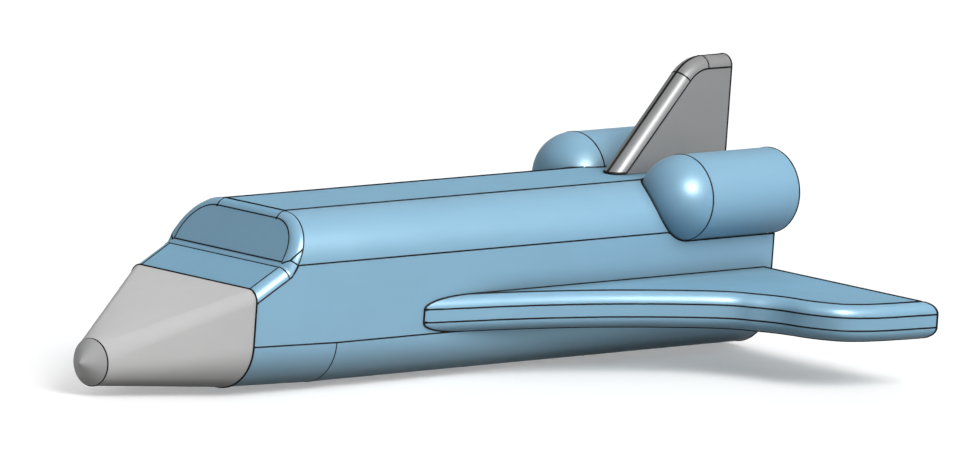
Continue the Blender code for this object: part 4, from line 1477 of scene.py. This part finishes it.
@dataclass
class Fin:
    """Swept slab fin with rounded leading and top edges."""

    half_thickness: float = 0.0041
    fillet: float = 0.0039
    top_z: float = 0.0961
    foot_x: float = 0.0540
    sweep: float = math.radians(43.1)
    corner_radius: float = 0.0158
    ray_reach: float = 2e-4
    foot_drop: float = 1.6 * GAP
    corner_steps: int = 16
    fillet_steps: int = 10

    def outline(self, roof_z: float) -> Outline:
        """Side view of the fin, from its rear foot round its leading edge.

        Args:
            roof_z: Height of the roof.

        Returns:
            Points as distance from the tail and height.
        """
        foot = roof_z + GAP
        lean = QUARTER - self.sweep
        corner_x = self.foot_x - (self.top_z - roof_z) * math.tan(self.sweep)
        centre = (corner_x - self.corner_radius * math.tan(lean / 2), self.top_z - self.corner_radius)
        corner = arc(centre, self.corner_radius, QUARTER - lean, QUARTER, self.corner_steps)
        return [(0.0, foot), (self.foot_x - GAP * math.tan(self.sweep), foot), *corner, (0.0, self.top_z)]

    def build(self, hull: Fuselage, lines: PanelLines) -> None:
        """Build and dress the fin.

        Args:
            hull: The fuselage that it stands on.
            lines: Takes up the ends of the rounds and the foot.
        """
        outline = self.outline(hull.height)
        foot, shelf = outline[0][1] + HAIR, self.top_z - self.corner_radius
        bm = slab(outline, self.half_thickness)
        rounds = round_edges(bm, lambda first, second: abs(first.y - second.y) <= HAIR
                             and max(first.z, second.z) >= foot and max(first.x, second.x) >= HAIR,
                             self.fillet, self.fillet_steps)
        for face in rounds:
            face.material_index = Mark.ROUNDED.value
        bmesh.ops.recalc_face_normals(bm, faces=bm.faces)
        fin = solid("fin_skin", bm)

        lines.note(borders(fin, Mark.ROUNDED))
        lines.note(ends_where(fin, lambda *ends: max(end.z for end in ends) < foot, (0.0, 0.0, -self.foot_drop)))
        # The rim of the flat rear end, without its foot
        lines.note(ends_where(fin, lambda first, second: max(first.x, second.x) < HAIR and not (
            max(first.z, second.z) < shelf and abs(first.y - second.y) > HAIR)))
        lines.note(self.corner_arcs(fin, outline))
        dress(fin, FIN_GREY, ["fin"])

    def corner_arcs(self, fin: bpy.types.Object, outline: Outline) -> list[Pair]:
        """List the edges that cross the round at both ends of the rounded top corner.

        Args:
            fin: The fin.
            outline: Its side view.

        Returns:
            The ends of each edge.
        """
        start, end = Vector(outline[2]), Vector(outline[-2])
        centre = Vector((end.x, self.top_z - self.corner_radius))
        found = []
        for tip in (start, end):
            ray = (tip - centre).normalized()
            found += ends_where(fin, lambda *ends: all(
                abs(spot.x * ray.y - spot.y * ray.x) < self.ray_reach and spot.dot(ray) > 0
                for spot in (point.xz - centre for point in ends)))
        return found


@dataclass
class Tail:
    """Tail plate and the engine bells."""

    half_width: float = 0.0262
    low_z: float = 0.0026
    high_z: float = 0.0375
    low_radius: float = 0.0130
    high_radius: float = 0.0030
    low_steps: int = 20
    high_steps: int = 10
    thickness: float = 0.0016
    ease: float = 0.0002
    bell_length: float = 0.0060
    mouth: float = 0.0080
    throat: float = 0.0045
    wall: float = 0.0009
    dish: float = 0.0036
    bell_steps: int = 18
    bell_facets: int = 72
    pod_scale: float = 0.62
    bells: tuple[tuple[str, float, float], ...] = (
        ("top", 0.0, 0.0285), ("port", 0.0125, 0.0135), ("starboard", -0.0125, 0.0135))

    def section(self, shrink: float) -> Outline:
        """Draw the plate's outline.

        Args:
            shrink: How far it is drawn in.

        Returns:
            Its points, as y and z.
        """
        half, low, high = self.half_width - shrink, self.low_z + shrink, self.high_z - shrink
        low_radius, high_radius = self.low_radius - shrink, self.high_radius - shrink
        points = arc((half - low_radius, low + low_radius), low_radius, -QUARTER, 0.0, self.low_steps)
        points += arc((half - high_radius, high - high_radius), high_radius, 0.0, QUARTER, self.high_steps)
        return points + mirrored(points)

    def recess(self) -> bmesh.types.BMesh:
        """The space that the plate takes from the rear face."""
        return prism(at_x(-REACH, self.section(0.0)), (REACH + self.thickness + GAP, 0.0, 0.0))

    def bell(self, name: str, node: str, y: float, z: float, scale: float) -> None:
        """Build and dress one bell with its dished mouth.

        Args:
            name: The piece's name.
            node: The node that it replaces.
            y: Distance to port.
            z: Height.
            scale: Its size beside a main engine's.
        """
        mouth, throat = self.mouth * scale, self.throat * scale
        wall, length, dish = self.wall * scale, self.bell_length * scale, self.dish * scale
        profile = [(-GAP, 0.0), (-GAP, throat)]
        for share in (step / self.bell_steps for step in range(1, self.bell_steps + 1)):
            out = throat + (mouth - throat) * math.sin(share * QUARTER)
            profile.append((-GAP - (length - GAP) * share, out))
        profile.append((-length, mouth - wall))
        for angle in (QUARTER * step / self.bell_steps for step in range(1, self.bell_steps)):
            profile.append((-length + dish * math.sin(angle), (mouth - wall) * math.cos(angle)))
        profile.append((-length + dish, 0.0))
        dress(solid(name, placed(turned(profile, self.bell_facets), (0.0, y, z))), BELL_GREY, [node])

    def build(self, pods: Pods) -> None:
        """Build and dress the plate and all bells.

        Args:
            pods: Gives the pods' places.
        """
        bm = prism(at_x(0.0, self.section(GAP)), (self.thickness, 0.0, 0.0))
        round_edges(bm, lambda first, second: max(first.x, second.x) < HAIR, self.ease)
        dress(solid("tail_plate_skin", bm), TAIL_GREY, ["tail_plate"])
        for label, y, z in self.bells:
            self.bell("main_bell_" + label, "engine_bell_" + label, y, z, 1.0)
        for side in Side:
            self.bell("small_bell_" + side.word, "pod_bell_" + side.word, side.value * pods.y, pods.z,
                      self.pod_scale)


@dataclass
class RunningGear:
    """Two wheelsets in their wells, each given by its name, its distance from the tail and its track."""

    sets: tuple[tuple[str, float, float], ...] = (("front", 0.2250, 0.0090), ("main", 0.0700, 0.0170))
    radius: float = 0.0060
    width: float = 0.0048
    corner: float = 0.0007
    corner_steps: int = 6
    groove: float = 0.00025
    groove_half: float = 0.0006
    groove_floor: float = 0.0004
    facets: int = 72
    hub: float = 0.0036
    hub_slope: float = 0.0002
    recess: float = 0.0008
    axle: float = 0.00125
    axle_ease: float = 0.0002
    axle_facets: int = 48
    bearing_facets: int = 24
    grip: float = 0.0026
    hole: float = 0.00065
    hole_at: float = 0.00258
    hole_facets: int = 20
    holes: int = 5
    clearance: float = 0.0011

    @property
    def centre_z(self) -> float:
        """Height of the axles over the flat of the belly."""
        return self.radius - PLACE.belly_z

    def well_half(self, track: float) -> float:
        """Half the width of a well."""
        return track / 2 + self.width / 2 + self.clearance

    def cut_wells(self, rear: bpy.types.Object, front: bpy.types.Object) -> None:
        """Cut the wells and bearings into the belly.

        Args:
            rear: The rear belly piece.
            front: The front belly piece.
        """
        z = self.centre_z
        clear = self.radius + self.clearance
        for host, (_, x, track) in zip((front, rear), self.sets):
            half = self.well_half(track)
            carve(host, box((x - clear, -half, -REACH), (x + clear, half, z + clear)))
            carve(host, self.bar(x, z, half + self.grip + GAP, self.axle + GAP, self.bearing_facets))

    def bar(self, x: float, z: float, reach: float, radius: float, steps: int) -> bmesh.types.BMesh:
        """Make a round bar across the shuttle.

        Args:
            x: Its distance from the tail.
            z: Its height.
            reach: How far it goes to each side.
            radius: Its radius.
            steps: How many facets go round.

        Returns:
            The bar.
        """
        bm = bmesh.new()
        bmesh.ops.create_cone(bm, cap_ends=True, segments=steps, radius1=radius, radius2=radius,
                              depth=2 * reach)
        return placed(bm, (x, 0.0, z), "X")

    def wheel(self) -> bmesh.types.BMesh:
        """Make a wheel about its axle, along X, with a groove round its tread.

        Returns:
            The wheel.
        """
        half, web, tread, corner = self.width / 2, self.width / 2 - self.recess, self.radius, self.corner
        outline = [(-web, self.axle + GAP), (-web, self.hub), (-half, self.hub + self.hub_slope),
                   *arc((corner - half, tread - corner), corner, math.pi, QUARTER, self.corner_steps),
                   (-self.groove_half, tread), (-self.groove_floor, tread - self.groove)]
        outline += [(-along, out) for along, out in reversed(outline)]
        return turned(outline + outline[:1], self.facets)

    def build(self) -> None:
        """Build and dress the wheels and axles."""
        z = self.centre_z
        for name, x, track in self.sets:
            body = name + "_wheels"
            bar = self.bar(x, z, self.well_half(track) + self.grip, self.axle, self.axle_facets)
            round_edges(bar, lambda first, second: abs(first.y - second.y) < HAIR, self.axle_ease)
            dress(solid(name + "_axle_bar", bar), STEEL, [name + "_axle"], body)
            for side in Side:
                label = "%s_wheel_%s" % (name, side.word)
                tyre = solid(label + "_tyre", placed(self.wheel(), (x, side.value * track / 2, z), "Z"))
                for turn in (4 * QUARTER * number / self.holes for number in range(self.holes)):
                    spot = x + self.hole_at * math.cos(turn), z + self.hole_at * math.sin(turn)
                    carve(tyre, self.bar(*spot, track, self.hole, self.hole_facets))
                dress(tyre, WHEEL_BLACK, [label], body)


@dataclass
class Studio:
    """Floor, lights and camera."""

    azimuth: float = math.radians(43.410)
    elevation: float = math.radians(8.791)
    roll: float = math.radians(4.152)
    distance: float = 6.6373
    aim: Spot = (0.1310, 0.01539, 0.04767)
    lens: float = 750.0
    sensor: float = 36.0
    clip: tuple[float, float] = (0.1, 100.0)
    floor_radius: float = 4.0
    floor_facets: int = 96
    floor_lit: float = 0.28
    floor_seen: float = 0.99
    key_from: Spot = (-0.061, 0.695, 0.717)
    key_spread: float = math.radians(40.0)
    key_power: float = 3.18
    key_softness: float = 0.75
    fill_from: Spot = (-0.45, -0.88, 0.12)
    fill_spread: float = math.radians(70.0)
    fill_power: float = 1.4
    sheen_at: Spot = (0.140, 0.295, 0.254)
    sheen_radius: float = 0.08
    sheen_power: float = 23.0
    sky: float = 0.29
    mirrored_sky: float = 0.2
    seen_sky: float = 1.0

    def camera(self) -> None:
        """Put the camera at the picture's viewpoint."""
        back = Vector((math.cos(self.elevation) * math.cos(self.azimuth),
                       math.cos(self.elevation) * math.sin(self.azimuth), math.sin(self.elevation)))
        right = Vector((-math.sin(self.azimuth), math.cos(self.azimuth), 0.0))
        up = back.cross(right)
        across = right * math.cos(self.roll) + up * math.sin(self.roll)
        upward = up * math.cos(self.roll) - right * math.sin(self.roll)
        data = bpy.data.cameras.new("camera")
        data.lens = self.lens
        data.sensor_width = self.sensor
        data.clip_start, data.clip_end = self.clip
        camera = link_object("camera", data)
        turn = Matrix((across, upward, back)).transposed().to_4x4()
        place = PLACE.matrix() @ Vector(self.aim) + back * self.distance
        camera.matrix_world = Matrix.Translation(place) @ turn
        bpy.context.scene.camera = camera

    def floor(self) -> None:
        """Lay the floor, whose bounce is kept low so that undersides stay dark."""
        bm = bmesh.new()
        bmesh.ops.create_circle(bm, cap_ends=True, segments=self.floor_facets, radius=self.floor_radius)
        mesh = bpy.data.meshes.new("floor")
        bm.to_mesh(mesh)
        bm.free()
        material, pipes, shader = blank("floor_paper")
        seen = pipes.node("ShaderNodeLightPath").outputs["Is Camera Ray"]
        lit, white = ((grey, grey, grey, 1.0) for grey in (self.floor_lit, self.floor_seen))
        paper = pipes.mix(seen, lit, white)
        pipes.feed(shader, {"Roughness": 0.9, "Specular IOR Level": 0.1, "Base Color": paper})
        mesh.materials.append(material)
        link_object("floor", mesh)

    def sun(self, name: str, source: Spot, angle: float, power: float, shadow: bool = True) -> None:
        """Hang a far, soft light that isn't mirrored.

        Args:
            name: Its name.
            source: The way that its light comes from.
            angle: How wide it looks.
            power: Its strength.
            shadow: Whether it casts shadows.
        """
        data = bpy.data.lights.new(name, "SUN")
        data.angle = angle
        data.energy = power
        data.use_shadow = shadow
        light = link_object(name, data)
        light.rotation_mode = "QUATERNION"
        light.rotation_quaternion = (-Vector(source).normalized()).to_track_quat("-Z", "Y")
        light.visible_glossy = False

    def lights(self) -> None:
        """Hang the key light, part of which casts no shadow, a fill and the sheen's lamp, and light the room."""
        soft = self.key_power * self.key_softness
        self.sun("key", self.key_from, self.key_spread, self.key_power * (1.0 - self.key_softness))
        self.sun("key_without_shadow", self.key_from, self.key_spread, soft, False)
        self.sun("fill", self.fill_from, self.fill_spread, self.fill_power)
        data = bpy.data.lights.new("sheen", "POINT")
        data.energy = self.sheen_power
        data.shadow_soft_size = self.sheen_radius
        sheen = link_object("sheen", data)
        sheen.location = PLACE.matrix() @ Vector(self.sheen_at)
        sheen.visible_diffuse = False
        sheen.visible_camera = False

        world = bpy.data.worlds.new("room")
        world.use_nodes = True
        bpy.context.scene.world = world
        pipes = Plumbing(world.node_tree)
        rays = pipes.node("ShaderNodeLightPath").outputs
        unseen = pipes.remap(rays["Is Glossy Ray"], (0.0, 1.0), self.sky, self.mirrored_sky)
        strength = pipes.remap(rays["Is Camera Ray"], (0.0, 1.0), unseen, self.seen_sky)
        pipes.feed(world.node_tree.nodes["Background"], {"Color": (1.0, 1.0, 1.0, 1.0), "Strength": strength})

    def build(self) -> None:
        """Set up the studio."""
        self.camera()
        self.floor()
        self.lights()
        bpy.context.scene.view_settings.view_transform = "Standard"


def main() -> None:
    """Build the studio and the shuttle, piece by piece."""
    Studio().build()
    lines = PanelLines()
    hull, pods, tail, running = Fuselage(), Pods(), Tail(), RunningGear()
    hull.build(lines, pods, running, tail)
    pods.build(lines)
    Nose().build(hull, lines)
    Wings().build(hull, lines)
    Fin().build(hull, lines)
    tail.build(pods)
    running.build()
    lines.build()


if __name__ == "__main__":
    main()
